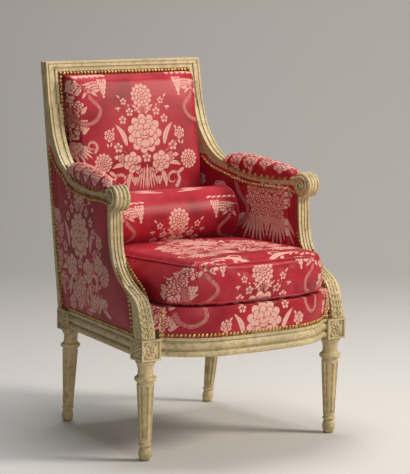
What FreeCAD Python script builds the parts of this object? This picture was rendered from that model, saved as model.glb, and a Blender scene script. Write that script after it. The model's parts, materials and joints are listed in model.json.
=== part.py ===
import FreeCAD, Part
import math
import os

# A bergere: a closed-arm easy chair with a carved and painted wooden frame, fixed padding,
# a loose seat cushion and a loose bolster. Millimetres, Z up, the front of the chair towards -Y.
# The pieces are drawn with Y = 0 on the axes of the front legs, and moved once, when they are
# written, so that the origin is on the floor under the middle of the chair. Left and right are
# those of a person who looks at the front of the chair: right is +X.

Vec = FreeCAD.Vector

# Overall sizes
overallHeight = 970.0
frontLegSpacing = 582.0  # between the axes of the front legs
rearDieSpacing = 473.0  # between the centres of the rear dies
dieDepthSpacing = 458.0  # from front die centre to rear die centre
dieBottom = 259.0
dieHeight = 54.0
frontDie = 56.0
rearDie = 55.0
fitClearance = 0.2  # glued wood, tenon in mortise
softClearance = 0.3  # loose upholstery beside what holds it
fillClearance = 0.1  # stuffing inside its cover

# Legs, turned and fluted
footBaseRadius = 12.0
footBellyRadius = 17.0
footBellyHeight = 21.0
footNeckRadius = 12.8
footNeckHeight = 35.0
footRingRadius = 17.2
shaftBottomRadius = 15.4
shaftBottomHeight = 50.0
shaftTopRadius = 22.4
shaftTopGap = 62.0  # from the top of the shaft up to the die
collarRadius = 28.3
collarGap = 45.5  # from the widest point of the collar up to the die
neckRadius = 19.6
topRingRadius = 25.8
fluteCount = 8
fluteTopRadius = 5.4
fluteBottomRadius = 3.7
fluteEndMargin = 8.0
rearLegScale = 0.93
rearFootRake = 29.0  # the rear feet stand this far behind their dies
rearFootInset = 6.0
rearFootTrim = 0.5  # sawn off level after the leg has been raked

# Rails of the seat
railBottomLift = 7.0  # the rails hang this far above the bottom of the dies
railRebateTop = 333.0
railThickness = 31.0
railFillet = 314.5  # top of the moulded part; above it the wood is cut back for the cloth
clothRebate = 4.5
sideRailSetBack = 6.0
rearRailSetBack = 3.0
frontStripSetBack = 4.5
frontStripLength = 13.0
bowCentreRadius = 1200.0
bowCentreHalf = 110.0
bowEndAngle = 44.5
bowTangent = 14.0  # straight part between the end of the curve and the mitre

# Back frame
backRake = 0.178  # the back leans this far for each unit of height
stileThickness = 29.0
stileWidth = 52.0
stileVisible = 35.0  # what shows beside the padding
stileTaper = 14.0  # the stiles draw together by this much each
stileSetIn = 2.5
crestHeight = 66.0
crestVisible = 25.0
backRebate = 5.0
lowerRailBottom = 345.0
lowerRailHeight = 52.0
lowerRailThickness = 24.0

# Arms
armWidth = 36.0
armTop = 668.0  # top of the wood under the pad
armDrop = 43.0  # from there to the underside
tailHeight = 858.0  # where the sweep of the arm runs out on the stile
scrollCentreY = 125.0
scrollCentreZ = 653.5
scrollRadius = 28.0
scrollWidth = 41.0
armFrontSetIn = 1.0
supportFrontTop = 133.0
supportFrontBottom = 4.0  # behind the front face of the die
supportDepth = 45.0
supportSetIn = 13.0  # from the axis of the front leg in to the inner face of the support
supportTopWidth = 35.5
supportBottomWidth = 39.0
padThickness = 45.0
padOverhang = 2.5
padLip = 12.0  # how far the pad's cloth comes down the sides of the arm

# Fixed upholstery
clothThickness = 2.0
sidePadThickness = 12.0
backPadThickness = 30.0
backCrown = 11.0  # by which the middle of the back swells out further
backFlange = 9.0  # cloth laid flat round the back for its nails
platformTop = 392.0
webWidth = 60.0
webThickness = 1.5

# Loose cushion and bolster
cushionFrontTop = 499.0
cushionBackTop = 484.0
cushionOverhang = 4.0  # before the front rail
cushionEarSetIn = 19.0  # of the ears of the cushion, inside the faces of the supports
cushionEndEase = 3.0  # by which the rounding of the ends starts outside the plan
bolsterRadius = 74.0
bolsterHalfLength = 212.0
bolsterLead = 8.0  # between the bolster and the thickest part of the back
bolsterEdgeRadius = 12.0

# Run mouldings: distance in from the outer edge, then depth
stileGrooves = [(5.0, 8.5, 1.8), (20.0, 27.0, 2.8)]
crestGrooves = [(4.0, 6.5, 1.8), (13.5, 19.0, 2.8)]
supportGrooves = [(0.19, 0.28, 2.0), (0.455, 0.545, 2.0), (0.72, 0.81, 2.0)]  # shares of the width
dieRim = 5.0
diePanelDepth = 2.5

# Joinery
tenonThickness = 10.0
tenonLength = 24.0
tenonHeight = 30.0

# Worked out from the sizes above
frontX = frontLegSpacing / 2
supportInnerX = frontX - supportSetIn
cushionEarX = supportInnerX - cushionEarSetIn
rearX = rearDieSpacing / 2
dieTop = dieBottom + dieHeight
railBottom = dieBottom + railBottomLift
frontDieOuter = frontX + frontDie / 2
frontDieInner = frontX - frontDie / 2
rearDieOuter = rearX + rearDie / 2
rearDieInner = rearX - rearDie / 2
rearFaceY = dieDepthSpacing + rearDie / 2
rakeAngle = math.degrees(math.atan(backRake))
stileBottomOuter = rearDieOuter - stileSetIn
stileTopOuter = stileBottomOuter - stileTaper


def backFaceY(z):
    """Y of the rear face of the stiles at a height."""
    return rearFaceY + (z - dieTop) * backRake


def frontFaceY(z):
    """Y of the front face of the stiles at a height."""
    return backFaceY(z) - stileThickness


def stileOuterX(z):
    return stileBottomOuter - stileTaper * (z - dieTop) / (overallHeight - dieTop)


armRearY = frontFaceY(armTop + 28)
armRearX = stileOuterX(armTop + 28)
armFrontY = scrollCentreY - 27
armFrontX = frontDieOuter - armFrontSetIn
armAngle = math.degrees(math.atan((armFrontX - armRearX) / (armRearY - armFrontY)))
sideRailFrontX = frontDieOuter - sideRailSetBack
sideRailRearX = rearDieOuter - rearRailSetBack
sideRailFrontY = frontDie / 2
sideRailRearY = dieDepthSpacing - rearDie / 2


def armLineX(y):
    """X of the outer face of the arm, which runs outwards to the front."""
    return armFrontX - (y - armFrontY) * math.tan(math.radians(armAngle))


def railLineX(y):
    """X of the outer face of the side rail."""
    share = (y - sideRailFrontY) / (sideRailRearY - sideRailFrontY)
    return sideRailFrontX + (sideRailRearX - sideRailFrontX) * share


# General helpers
def box(x0, x1, y0, y1, z0, z1):
    return Part.makeBox(x1 - x0, y1 - y0, z1 - z0, Vec(x0, y0, z0))


def outlineEdges(steps):
    """Edges through a list of steps: a point draws a line to it, a pair of points an arc
    through the first to the second, and a list of points a smooth curve through them all."""
    edges = []
    here = steps[0]
    for step in steps[1:]:
        if isinstance(step, tuple):
            edges.append(Part.Arc(here, step[0], step[1]).toShape())
            here = step[1]
        elif isinstance(step, list):
            curve = Part.BSplineCurve()
            curve.interpolate([here] + step)
            edges.append(curve.toShape())
            here = step[-1]
        else:
            edges.append(Part.LineSegment(here, step).toShape())
            here = step
    return edges


def outlineFace(steps):
    """A flat face inside a closed outline."""
    if isinstance(steps[-1], Vec) and steps[-1].distanceToPoint(steps[0]) > 1e-6:
        steps = steps + [steps[0]]
    return Part.Face(Part.Wire(outlineEdges(steps)))


def roundedFace(corners):
    """A flat face from pairs of a corner and the radius that rounds it."""
    edges = []
    starts = []
    count = len(corners)
    for index, (corner, radius) in enumerate(corners):
        back = (corners[index - 1][0] - corner).normalize()
        on = (corners[(index + 1) % count][0] - corner).normalize()
        if radius <= 0:
            starts.append((corner, None, corner))
            continue
        half = back.getAngle(on) / 2
        reach = radius / math.tan(half)
        middle = (back + on).normalize()
        centre = corner + middle * (radius / math.sin(half))
        starts.append((corner + back * reach, centre - middle * radius, corner + on * reach))
    for index, (start, middle, end) in enumerate(starts):
        if middle is not None:
            edges.append(Part.Arc(start, middle, end).toShape())
        edges.append(Part.LineSegment(end, starts[(index + 1) % count][0]).toShape())
    return Part.Face(Part.Wire(edges))


def spun(face, axis):
    """A solid of revolution, right side out."""
    body = face.revolve(Vec(0, 0, 0), axis, 360)
    if body.Volume < 0:
        body.reverse()
    return body


def ruledSolid(lower, upper):
    """A solid between two polygons with as many corners, with straight sides."""
    wires = []
    for corners in (lower, upper):
        wires.append(Part.makePolygon(corners + [corners[0]]))
    return Part.makeLoft(wires, True, True)


def halfSpace(point, normal):
    """A block that fills the side of a plane to which the normal points."""
    size = 3000.0
    block = Part.makeBox(size, size, size, Vec(-size / 2, -size / 2, 0))
    block.Placement = FreeCAD.Placement(point, FreeCAD.Rotation(Vec(0, 0, 1), normal))
    return block


def mirrored(shape):
    return shape.mirror(Vec(0, 0, 0), Vec(1, 0, 0))


def grown(x0, x1, y0, y1, z0, z1):
    """The mortise for a tenon of these limits."""
    gap = fitClearance
    return box(x0 - gap, x1 + gap, y0 - gap, y1 + gap, z0 - gap, z1 + gap)


# Turned legs
def legProfile(height):
    """Half section of a leg from the floor to the die, as a face in the XZ plane."""
    collar = height - collarGap
    shaftTop = height - shaftTopGap
    steps = [
        Vec(0, 0, 0),
        Vec(footBaseRadius - 1, 0, 0),
        Vec(footBaseRadius, 0, 1.5),
        (Vec(footBellyRadius, 0, footBellyHeight), Vec(footNeckRadius, 0, footNeckHeight)),
        Vec(footNeckRadius, 0, footNeckHeight + 1.5),
        (Vec(footRingRadius, 0, footNeckHeight + 6), Vec(footNeckRadius + 1.6, 0, footNeckHeight + 10.5)),
        Vec(footNeckRadius + 1.6, 0, shaftBottomHeight - 2.5),
        Vec(shaftBottomRadius, 0, shaftBottomHeight),
        Vec(shaftTopRadius, 0, shaftTop),
        Vec(shaftTopRadius - 1.6, 0, shaftTop + 1.5),
        Vec(shaftTopRadius - 1.6, 0, shaftTop + 5),
        Vec(collarRadius - 3.6, 0, shaftTop + 7.5),
        (Vec(collarRadius, 0, collar - 2), Vec(collarRadius - 1.2, 0, collar + 2.5)),
        [
            Vec(neckRadius + 2.4, 0, collar + 6),
            Vec(neckRadius, 0, collar + 20),
            Vec(neckRadius + 1.8, 0, height - 14),
            Vec(topRingRadius - 2.4, 0, height - 9),
        ],
        Vec(topRingRadius - 1.2, 0, height - 8),
        (Vec(topRingRadius, 0, height - 4.5), Vec(topRingRadius - 1, 0, height - 1)),
        Vec(topRingRadius - 1, 0, height),
        Vec(0, 0, height),
    ]
    return outlineFace(steps)


def fluteCutter(height):
    """One flute: a tapered capsule that lies along the shaft."""
    low = shaftBottomHeight + fluteEndMargin
    high = height - shaftTopGap - fluteEndMargin
    slope = (shaftTopRadius - shaftBottomRadius) / (height - shaftTopGap - shaftBottomHeight)
    steps = [
        Vec(0, 0, low - fluteBottomRadius),
        (Vec(fluteBottomRadius * 0.707, 0, low - fluteBottomRadius * 0.707), Vec(fluteBottomRadius, 0, low)),
        Vec(fluteTopRadius, 0, high),
        (Vec(fluteTopRadius * 0.707, 0, high + fluteTopRadius * 0.707), Vec(0, 0, high + fluteTopRadius)),
    ]
    capsule = spun(outlineFace(steps), Vec(0, 0, 1))
    capsule.rotate(Vec(0, 0, 0), Vec(0, 1, 0), math.degrees(math.atan(slope)))
    atBottom = shaftBottomRadius - slope * shaftBottomHeight + 0.9
    capsule.translate(Vec(atBottom, 0, 0))
    return capsule


def turnedLeg(height):
    """A leg that stands on the origin, fluted round its shaft."""
    leg = spun(legProfile(height), Vec(0, 0, 1))
    cutters = []
    for index in range(fluteCount):
        cutter = fluteCutter(height)
        cutter.rotate(Vec(0, 0, 0), Vec(0, 0, 1), (index + 0.5) * 360.0 / fluteCount)
        cutters.append(cutter)
    return leg.cut(cutters)


# Joinery: every tenon is listed once, and cuts its own mortise
tenonLow = railBottom + 9
tenonHigh = tenonLow + tenonHeight
frontTenonY = -frontDie / 2 + frontStripSetBack + 9
sideTenonX = frontX - 4


def frontRailTenon(make):
    return make(
        frontDieInner - 8, frontDieInner + tenonLength,
        frontTenonY, frontTenonY + tenonThickness, tenonLow, tenonHigh,
    )


def sideRailFrontTenon(make):
    return make(
        sideTenonX, sideTenonX + tenonThickness,
        frontDie / 2 - tenonLength, frontDie / 2 + 8, tenonLow, tenonHigh,
    )


def sideRailRearTenon(make):
    middle = sideRailRearX - railThickness / 2
    return make(
        middle - tenonThickness / 2, middle + tenonThickness / 2,
        sideRailRearY - 8, sideRailRearY + tenonLength, tenonLow, tenonHigh,
    )


def rearRailTenon(make):
    face = rearFaceY - rearRailSetBack
    return make(
        rearDieInner - 8, rearDieInner + tenonLength,
        face - 5 - tenonThickness, face - 5, tenonLow, tenonHigh,
    )


def supportFootTenon(make):
    middle = supportInnerX + supportBottomWidth / 2 - 1
    half = tenonThickness / 2
    return make(
        middle - half, middle + half, -half, tenonThickness + half,
        tenonHigh + 1, dieTop + 4,
    )


def supportHeadTenon(make):
    middle = supportInnerX + supportTopWidth / 2
    half = tenonThickness / 2
    low = armTop - armDrop
    rear = supportFrontTop + supportDepth * 0.72
    return make(middle - half, middle + half, supportFrontTop + 12, rear, low - 6, low + 18)


# Front legs with their dies
def panelRecess(width, height, depth):
    """A sunk square on the face of a die, as a cutter that points along -Y."""
    return box(-width / 2, width / 2, -0.5, depth, -height / 2, height / 2)


def frontLeg():
    leg = turnedLeg(dieBottom)
    leg.translate(Vec(frontX, 0, 0))
    die = box(frontDieInner, frontDieOuter, -frontDie / 2, frontDie / 2, dieBottom, dieTop)
    middleZ = (dieBottom + dieTop) / 2
    onFront = panelRecess(frontDie - 2 * dieRim, dieHeight - 2 * dieRim, diePanelDepth)
    onFront.translate(Vec(frontX, -frontDie / 2, middleZ))
    onSide = panelRecess(frontDie - 2 * dieRim, dieHeight - 2 * dieRim, diePanelDepth)
    onSide.rotate(Vec(0, 0, 0), Vec(0, 0, 1), 90)
    onSide.translate(Vec(frontDieOuter, 0, middleZ))
    die = die.cut([onFront, onSide])
    mortises = [frontRailTenon(grown), sideRailFrontTenon(grown), supportFootTenon(grown)]
    return leg.fuse(die).removeSplitter().cut(mortises)


# Rear posts: leg, die and stile in one length of wood
def rearLeg(side):
    """The turned leg, sheared so that its foot stands behind the die and a little inside it."""
    leg = turnedLeg((dieBottom + rearFootTrim) / rearLegScale)
    leg.scale(rearLegScale)
    leg.translate(Vec(0, 0, -rearFootTrim))
    shear = FreeCAD.Matrix()
    shear.A13 = side * rearFootInset / dieBottom
    shear.A23 = -rearFootRake / dieBottom
    leg = leg.transformGeometry(shear)
    leg.translate(Vec(side * (rearX - rearFootInset), dieDepthSpacing + rearFootRake, 0))
    return leg.cut(box(-frontX, frontX, 0, 2 * dieDepthSpacing, -10, 0))


def stileBlock():
    """The stile, with the cloth's rebate on its front and the raked faces."""
    low = dieTop - 1
    layers = []
    for z in (low, overallHeight):
        outer = stileOuterX(z)
        layers.append(
            [
                Vec(outer - stileWidth, frontFaceY(z), z), Vec(outer, frontFaceY(z), z),
                Vec(outer, backFaceY(z), z), Vec(outer - stileWidth, backFaceY(z), z),
            ]
        )
    block = ruledSolid(layers[0], layers[1])
    edge = overallHeight - crestVisible
    rebateLower = []
    rebateUpper = []
    for z, corners in ((low - 1, rebateLower), (edge, rebateUpper)):
        visibleX = stileOuterX(z) - stileVisible
        corners.append(Vec(visibleX - 60, frontFaceY(z) - 40, z))
        corners.append(Vec(visibleX, frontFaceY(z) - 40, z))
        corners.append(Vec(visibleX, frontFaceY(z) + backRebate, z))
        corners.append(Vec(visibleX - 60, frontFaceY(z) + backRebate, z))
    return block.cut(ruledSolid(rebateLower, rebateUpper))


def crestTenon(make):
    middle = (frontFaceY(overallHeight - crestHeight / 2) + backFaceY(overallHeight - crestHeight / 2)) / 2
    shoulder = stileTopOuter - stileWidth
    return make(
        shoulder - 8, shoulder + tenonLength,
        middle - 4, middle + 4, overallHeight - crestHeight + 10, overallHeight - 14,
    )


def lowerRailTenon(make):
    z = lowerRailBottom + lowerRailHeight / 2
    middle = backFaceY(z) - lowerRailThickness / 2 - 1
    shoulder = stileOuterX(z) - stileWidth
    return make(
        shoulder - 8, shoulder + tenonLength,
        middle - 4, middle + 4, lowerRailBottom + 8, lowerRailBottom + lowerRailHeight - 8,
    )


def armTenon(make):
    z = armTop + 24
    middle = stileOuterX(z) - armWidth / 2
    face = frontFaceY(z)
    return make(middle - 5, middle + 5, face - 10, face + stileThickness * 0.7, z - 9, z + 22)


def stileMouldings():
    """Grooves that run up the front of the stile, above the sweep of the arm."""
    cutters = []
    for (near, far, depth), (top, _, _) in zip(stileGrooves, crestGrooves):
        layers = []
        for z in (tailHeight, overallHeight - top):
            outer = stileOuterX(z)
            layers.append(
                [
                    Vec(outer - far, frontFaceY(z) - 2, z), Vec(outer - near, frontFaceY(z) - 2, z),
                    Vec(outer - near - 0.8, frontFaceY(z) + depth, z), Vec(outer - far + 0.8, frontFaceY(z) + depth, z),
                ]
            )
        cutters.append(ruledSolid(layers[0], layers[1]))
    return cutters


def crestMouldings():
    """Grooves that run along the crest rail and meet those of the stiles at the corners."""
    cutters = []
    for (top, bottom, depth), (side, _, _) in zip(crestGrooves, stileGrooves):
        z0 = overallHeight - bottom
        z1 = overallHeight - top
        half = stileTopOuter - side
        section = [
            Vec(-half, frontFaceY(z0) - 2, z0), Vec(-half, frontFaceY(z1) - 2, z1),
            Vec(-half, frontFaceY(z1 - 0.8) + depth, z1 - 0.8), Vec(-half, frontFaceY(z0 + 0.8) + depth, z0 + 0.8),
        ]
        cutters.append(Part.Face(Part.makePolygon(closed(section))).extrude(Vec(2 * half, 0, 0)))
    return cutters


def rearPost(side):
    die = box(
        rearDieInner, rearDieOuter,
        dieDepthSpacing - rearDie / 2, rearFaceY, dieBottom, dieTop,
    )
    middleZ = (dieBottom + dieTop) / 2
    onSide = panelRecess(rearDie - 2 * dieRim, dieHeight - 2 * dieRim, diePanelDepth)
    onSide.rotate(Vec(0, 0, 0), Vec(0, 0, 1), 90)
    onSide.translate(Vec(rearDieOuter, dieDepthSpacing, middleZ))
    die = die.cut(onSide)
    post = die.fuse(stileBlock()).removeSplitter()
    post = post.cut(stileMouldings() + crestMouldings() + armMouldings() + [outsidePocket()])
    mortises = [
        sideRailRearTenon(grown), rearRailTenon(grown), crestTenon(grown),
        lowerRailTenon(grown), armTenon(grown),
    ]
    post = post.cut(mortises)
    if side < 0:
        post = mirrored(post)
    return post.fuse(rearLeg(side)).removeSplitter()


# Seat rails
def railSection():
    """Section of a rail: the first number is how far inside its outermost face a point lies."""
    low = railBottom
    top = railFillet
    return [
        (railThickness, low), (3.0, low),
        ((0.0, low + 7.0), (3.0, low + 14.0)),
        (6.0, low + 15.5), (6.0, low + 17.5), (4.0, low + 19.0),
        ((0.0, low + 28.0), (4.0, low + 37.0)),
        (5.0, low + 38.5), (5.0, low + 40.0), (1.8, low + 40.5), (1.8, top),
        (clothRebate, top), (clothRebate, railRebateTop), (railThickness, railRebateTop),
    ]


def sectionFace(place):
    """The rail's section as a face, each point set by place(inset, height)."""
    steps = []
    for item in railSection():
        if isinstance(item[0], tuple):
            steps.append((place(*item[0]), place(*item[1])))
        else:
            steps.append(place(*item))
    return outlineFace(steps)


bowStart = math.asin(bowCentreHalf / bowCentreRadius)
bowEnd = math.radians(bowEndAngle)
bowStripX = frontDieInner - frontStripLength
bowStripY = -frontDie / 2 + frontStripSetBack
bowTurnX = bowStripX - bowTangent * math.cos(bowEnd)
bowTurnY = bowStripY - bowTangent * math.sin(bowEnd)
bowEndRadius = (bowTurnX - bowCentreHalf) / (math.sin(bowEnd) - math.sin(bowStart))
bowDepth = bowCentreRadius * (1 - math.cos(bowStart))
bowDepth += bowEndRadius * (math.cos(bowStart) - math.cos(bowEnd))
bowFrontY = bowTurnY - bowDepth
bowCentre = Vec(0, bowFrontY + bowCentreRadius, 0)
bowCornerCentre = bowCentre + Vec(math.sin(bowStart), -math.cos(bowStart), 0) * (
    bowCentreRadius - bowEndRadius
)
mitreOutward = Vec(math.sin(bowEnd), -math.cos(bowEnd) - 1, 0).normalize()


def bowPoint(centre, radius, angle, z=0.0):
    return Vec(centre.x + radius * math.sin(angle), centre.y - radius * math.cos(angle), z)


def bowFaceY(x):
    """Y of the rail's outermost face at a distance from the middle, as far as the curve goes."""
    x = abs(x)
    if x < bowCentreHalf:
        return bowCentre.y - math.sqrt(bowCentreRadius ** 2 - x ** 2)
    reach = min(x - bowCornerCentre.x, bowEndRadius * math.sin(bowEnd))
    return bowCornerCentre.y - math.sqrt(bowEndRadius ** 2 - reach ** 2)


def mitrePoint(inset, z):
    """Where the curved and the straight part of the rail meet, at a distance inside the face."""
    return Vec(bowStripX, bowStripY, z) - mitreOutward * (inset / math.cos(bowEnd / 2))


def bowEdgeSteps(inset, z):
    """The right half of the bow at a distance inside the rail's face, from the middle outwards."""
    half = (bowStart + bowEnd) / 2
    return [
        bowPoint(bowCentre, bowCentreRadius - inset, 0, z),
        (
            bowPoint(bowCentre, bowCentreRadius - inset, bowStart / 2, z),
            bowPoint(bowCentre, bowCentreRadius - inset, bowStart, z),
        ),
        (
            bowPoint(bowCornerCentre, bowEndRadius - inset, half, z),
            bowPoint(bowCornerCentre, bowEndRadius - inset, bowEnd, z),
        ),
        mitrePoint(inset, z),
    ]


def frontRail():
    """Three-centred bow with a short straight strip beside each die, mitred together."""
    face = sectionFace(lambda inset, z: Vec(0, bowFrontY + inset, z))
    face.rotate(bowCentre, Vec(0, 0, 1), -math.degrees(bowStart))
    middle = face.revolve(bowCentre, Vec(0, 0, 1), 2 * math.degrees(bowStart))
    startY = bowCornerCentre.y - bowEndRadius
    face = sectionFace(lambda inset, z: Vec(bowCornerCentre.x, startY + inset, z))
    face.rotate(bowCornerCentre, Vec(0, 0, 1), math.degrees(bowStart))
    corner = face.revolve(bowCornerCentre, Vec(0, 0, 1), bowEndAngle - math.degrees(bowStart))
    face.rotate(bowCornerCentre, Vec(0, 0, 1), bowEndAngle - math.degrees(bowStart))
    tangent = face.extrude(Vec(math.cos(bowEnd), math.sin(bowEnd), 0) * (bowTangent + 60))
    crease = Vec(bowStripX, bowStripY, 0)
    towardsDie = Vec(-mitreOutward.y, mitreOutward.x, 0)
    tangent = tangent.cut(halfSpace(crease, towardsDie))
    strip = sectionFace(lambda inset, z: Vec(frontDieInner, bowStripY + inset, z))
    strip = strip.extrude(Vec(-frontStripLength - 40, 0, 0))
    strip = strip.cut(halfSpace(crease, towardsDie * -1))
    end = corner.fuse([tangent, strip, frontRailTenon(box)])
    return middle.fuse([end, mirrored(end)]).removeSplitter()


def straightRail(start, end):
    """A moulded rail between two points of its outer face, which lies to the right of the way."""
    way = end - start
    length = way.Length
    way.normalize()
    outward = Vec(way.y, -way.x, 0)
    face = sectionFace(lambda inset, z: Vec(start.x, start.y, z) - outward * inset)
    return face.extrude(way * length)


def sideRail():
    """The side rail, cut square to the dies that it meets."""
    start = Vec(railLineX(sideRailFrontY - 20), sideRailFrontY - 20, 0)
    end = Vec(railLineX(sideRailRearY + 20), sideRailRearY + 20, 0)
    rail = straightRail(start, end)
    rail = rail.common(box(0, 600, sideRailFrontY, sideRailRearY, 0, 600))
    return rail.fuse([sideRailFrontTenon(box), sideRailRearTenon(box)]).removeSplitter()


def rearRail():
    face = rearFaceY - rearRailSetBack
    rail = straightRail(Vec(rearDieInner, face, 0), Vec(-rearDieInner, face, 0))
    return rail.fuse([rearRailTenon(box), mirrored(rearRailTenon(box))]).removeSplitter()


# Back rails
def rakedBar(halfLow, halfHigh, z0, z1, front, rear):
    """A bar across the back; front and rear give its faces behind the stiles' front at a height."""
    corners = []
    for z, half in ((z0, halfLow), (z1, halfHigh)):
        corners.append(
            [
                Vec(-half, front(z), z), Vec(half, front(z), z),
                Vec(half, rear(z), z), Vec(-half, rear(z), z),
            ]
        )
    return ruledSolid(corners[0], corners[1])


def stileInnerX(z):
    return stileOuterX(z) - stileWidth


def crestRail():
    low = overallHeight - crestHeight
    edge = overallHeight - crestVisible
    bar = rakedBar(stileInnerX(low), stileInnerX(overallHeight), low, overallHeight, frontFaceY, backFaceY)
    rebate = rakedBar(300, 300, low - 1, edge, lambda z: frontFaceY(z) - 30, lambda z: frontFaceY(z) + backRebate)
    bar = bar.cut([rebate] + crestMouldings())
    return bar.fuse([crestTenon(box), mirrored(crestTenon(box))]).removeSplitter()


def lowerBackRail():
    low = lowerRailBottom
    high = low + lowerRailHeight
    bar = rakedBar(
        stileInnerX(low), stileInnerX(high), low, high,
        lambda z: backFaceY(z) - lowerRailThickness, backFaceY,
    )
    return bar.fuse([lowerRailTenon(box), mirrored(lowerRailTenon(box))]).removeSplitter()


# Arms
def armPlaceY(y):
    """Length along the arm for a Y of the chair, because the arm runs slantwise."""
    return armFrontY + (y - armFrontY) / math.cos(math.radians(armAngle))


def armShare(share):
    """Y at a share of the way from the scroll to the stile."""
    return scrollCentreY + share * (armRearY - scrollCentreY)


def armPoint(y, z):
    return Vec(0, armPlaceY(y), z)


# Each pair: how far before the stile's front face, and how high, the sweep passes
tailSweep = [(4.0, 154.0), (11.0, 115.0), (24.0, 86.0), (42.0, 59.0), (66.0, 38.0), (96.0, 23.5)]
armTopShape = [(0.66, 14.5), (0.52, 6.0), (0.38, 1.0), (0.25, 0.0), (0.13, 4.5)]
armUnderShape = [(0.14, 43.0), (0.32, 43.0), (0.48, 42.0), (0.6, 38.0), (0.7, 30.0), (0.82, 14.0)]


def armTopSteps():
    points = []
    for ahead, rise in tailSweep:
        z = armTop + rise
        points.append(armPoint(frontFaceY(z) - ahead, z))
    for share, rise in armTopShape:
        points.append(armPoint(armShare(share), armTop + rise))
    points.append(armPoint(scrollCentreY, scrollCentreZ + scrollRadius))
    return points


def armOutline(extra):
    lift = Vec(0, 0, extra)
    top = [point + lift for point in armTopSteps()]
    bottom = []
    for share, drop in armUnderShape:
        bottom.append(armPoint(armShare(share), armTop - drop - extra))
    endZ = armTop + 22
    bottom.append(armPoint(frontFaceY(endZ), endZ))
    front = armPoint(scrollCentreY - scrollRadius - extra, scrollCentreZ)
    under = armPoint(scrollCentreY, scrollCentreZ - scrollRadius - extra)
    return [armPoint(frontFaceY(tailHeight), tailHeight), top, (front, under), bottom]


def armPlaced(shape):
    """Set a shape drawn along the Y axis onto the slanting line of the arm."""
    shape.rotate(Vec(0, armFrontY, 0), Vec(0, 0, 1), armAngle)
    shape.translate(Vec(armFrontX, 0, 0))
    return shape


def scrollDrum(radius, width):
    start = Vec(-armWidth / 2 - width / 2, armPlaceY(scrollCentreY), scrollCentreZ)
    return Part.makeCylinder(radius, width, start, Vec(1, 0, 0))


def armBlank(extra=0.0):
    """The arm and its scroll, sawn to the side outline; extra grows it all round."""
    steps = armOutline(extra)
    steps.append(steps[0])
    blank = outlineFace(steps).extrude(Vec(-armWidth - 2 * extra, 0, 0))
    blank.translate(Vec(extra, 0, 0))
    roll = scrollDrum(scrollRadius + extra, scrollWidth + 2 * extra)
    eye = scrollDrum(scrollRadius * 0.42, scrollWidth + 4)
    return armPlaced(blank.fuse([roll, eye]).removeSplitter())


def armMouldings():
    """Grooves that carry the stile's mouldings down the sweep of the arm, as far as its pad."""
    cutters = []
    for near, far, depth in stileGrooves:
        inward = Vec(0, depth * 0.8, -depth * 0.6)
        start = armPoint(frontFaceY(tailHeight), tailHeight) + Vec(0, depth, 0)
        sweep = [point + inward for point in armTopSteps()[:6]]
        last = sweep[-1]
        steps = [start, sweep, Vec(0, last.y, last.z + 40), Vec(0, last.y, tailHeight)]
        cutter = outlineFace(steps + [start]).extrude(Vec(near - far, 0, 0))
        cutter.translate(Vec(-near, 0, 0))
        cutters.append(armPlaced(cutter))
    return cutters


def arm():
    blank = armBlank().cut([supportHeadTenon(grown), outsidePocket()] + armMouldings())
    return blank.fuse(armTenon(box)).removeSplitter()


# Arm supports. Each pair: share of the height, share of the way forward to the die
supportFrontCurve = [
    (0.794, 0.019), (0.633, 0.070), (0.505, 0.197), (0.424, 0.369), (0.357, 0.618),
    (0.280, 0.828), (0.190, 0.911), (0.100, 0.968), (0.0, 1.0),
]
supportRearCurve = [
    (0.0, 1.0), (0.075, 1.0), (0.190, 0.945), (0.280, 0.787), (0.360, 0.520),
    (0.441, 0.253), (0.537, 0.087), (0.666, 0.013),
]


def supportTopZ():
    return armTop - armDrop + 1


def supportPoint(curvePoint, topY, bottomY):
    share, forward = curvePoint
    return Vec(0, topY + (bottomY - topY) * forward, dieTop + (supportTopZ() - dieTop) * share)


def supportOutline():
    frontBottom = -frontDie / 2 + supportFrontBottom
    rearTop = supportFrontTop + supportDepth
    rearBottom = frontDie / 2 - 1
    front = [supportPoint(item, supportFrontTop, frontBottom) for item in supportFrontCurve]
    rear = [supportPoint(item, rearTop, rearBottom) for item in supportRearCurve]
    top = supportTopZ()
    rise = 24.0
    return [
        Vec(0, supportFrontTop, top + rise), Vec(0, supportFrontTop, top), front,
        rear[0], rear[1:] + [Vec(0, rearTop, top)], Vec(0, rearTop, top + rise),
    ]


def supportMouldings():
    """Grooves down the front face of the support."""
    outline = supportOutline()
    top, front = outline[1], outline[2]
    cutters = []
    for near, far, depth in supportGrooves:
        inward = Vec(0, depth * 0.8, -depth * 0.6)
        curve = [point + inward for point in front]
        ahead = -200.0
        steps = [top + inward, curve, Vec(0, curve[-1].y, dieTop - 4), Vec(0, ahead, dieTop - 4), Vec(0, ahead, top.z)]
        width = supportTopWidth + 1.0
        cutter = outlineFace(steps + [steps[0]]).extrude(Vec(width * (far - near), 0, 0))
        cutter.translate(Vec(supportInnerX + width * near, 0, 0))
        cutters.append(cutter)
    return cutters


def armSupport():
    """The support, sawn to an S from the side, its outer face flaring to the die."""
    steps = supportOutline()
    steps.append(steps[0])
    blank = outlineFace(steps).extrude(Vec(80, 0, 0))
    blank.translate(Vec(supportInnerX, 0, 0))
    low = dieTop - 1
    high = supportTopZ() + 60
    inner = supportInnerX
    lower = []
    upper = []
    for corners, z, width in ((lower, low, supportBottomWidth), (upper, high, supportTopWidth)):
        corners.append(Vec(inner, -200, z))
        corners.append(Vec(inner + width, -200, z))
        corners.append(Vec(inner + width, 400, z))
        corners.append(Vec(inner, 400, z))
    blank = blank.common(ruledSolid(lower, upper))
    blank = blank.cut([armBlank(0.1), outsidePocket()] + supportMouldings())
    return blank.fuse([supportFootTenon(box), supportHeadTenon(box)]).removeSplitter()


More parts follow.
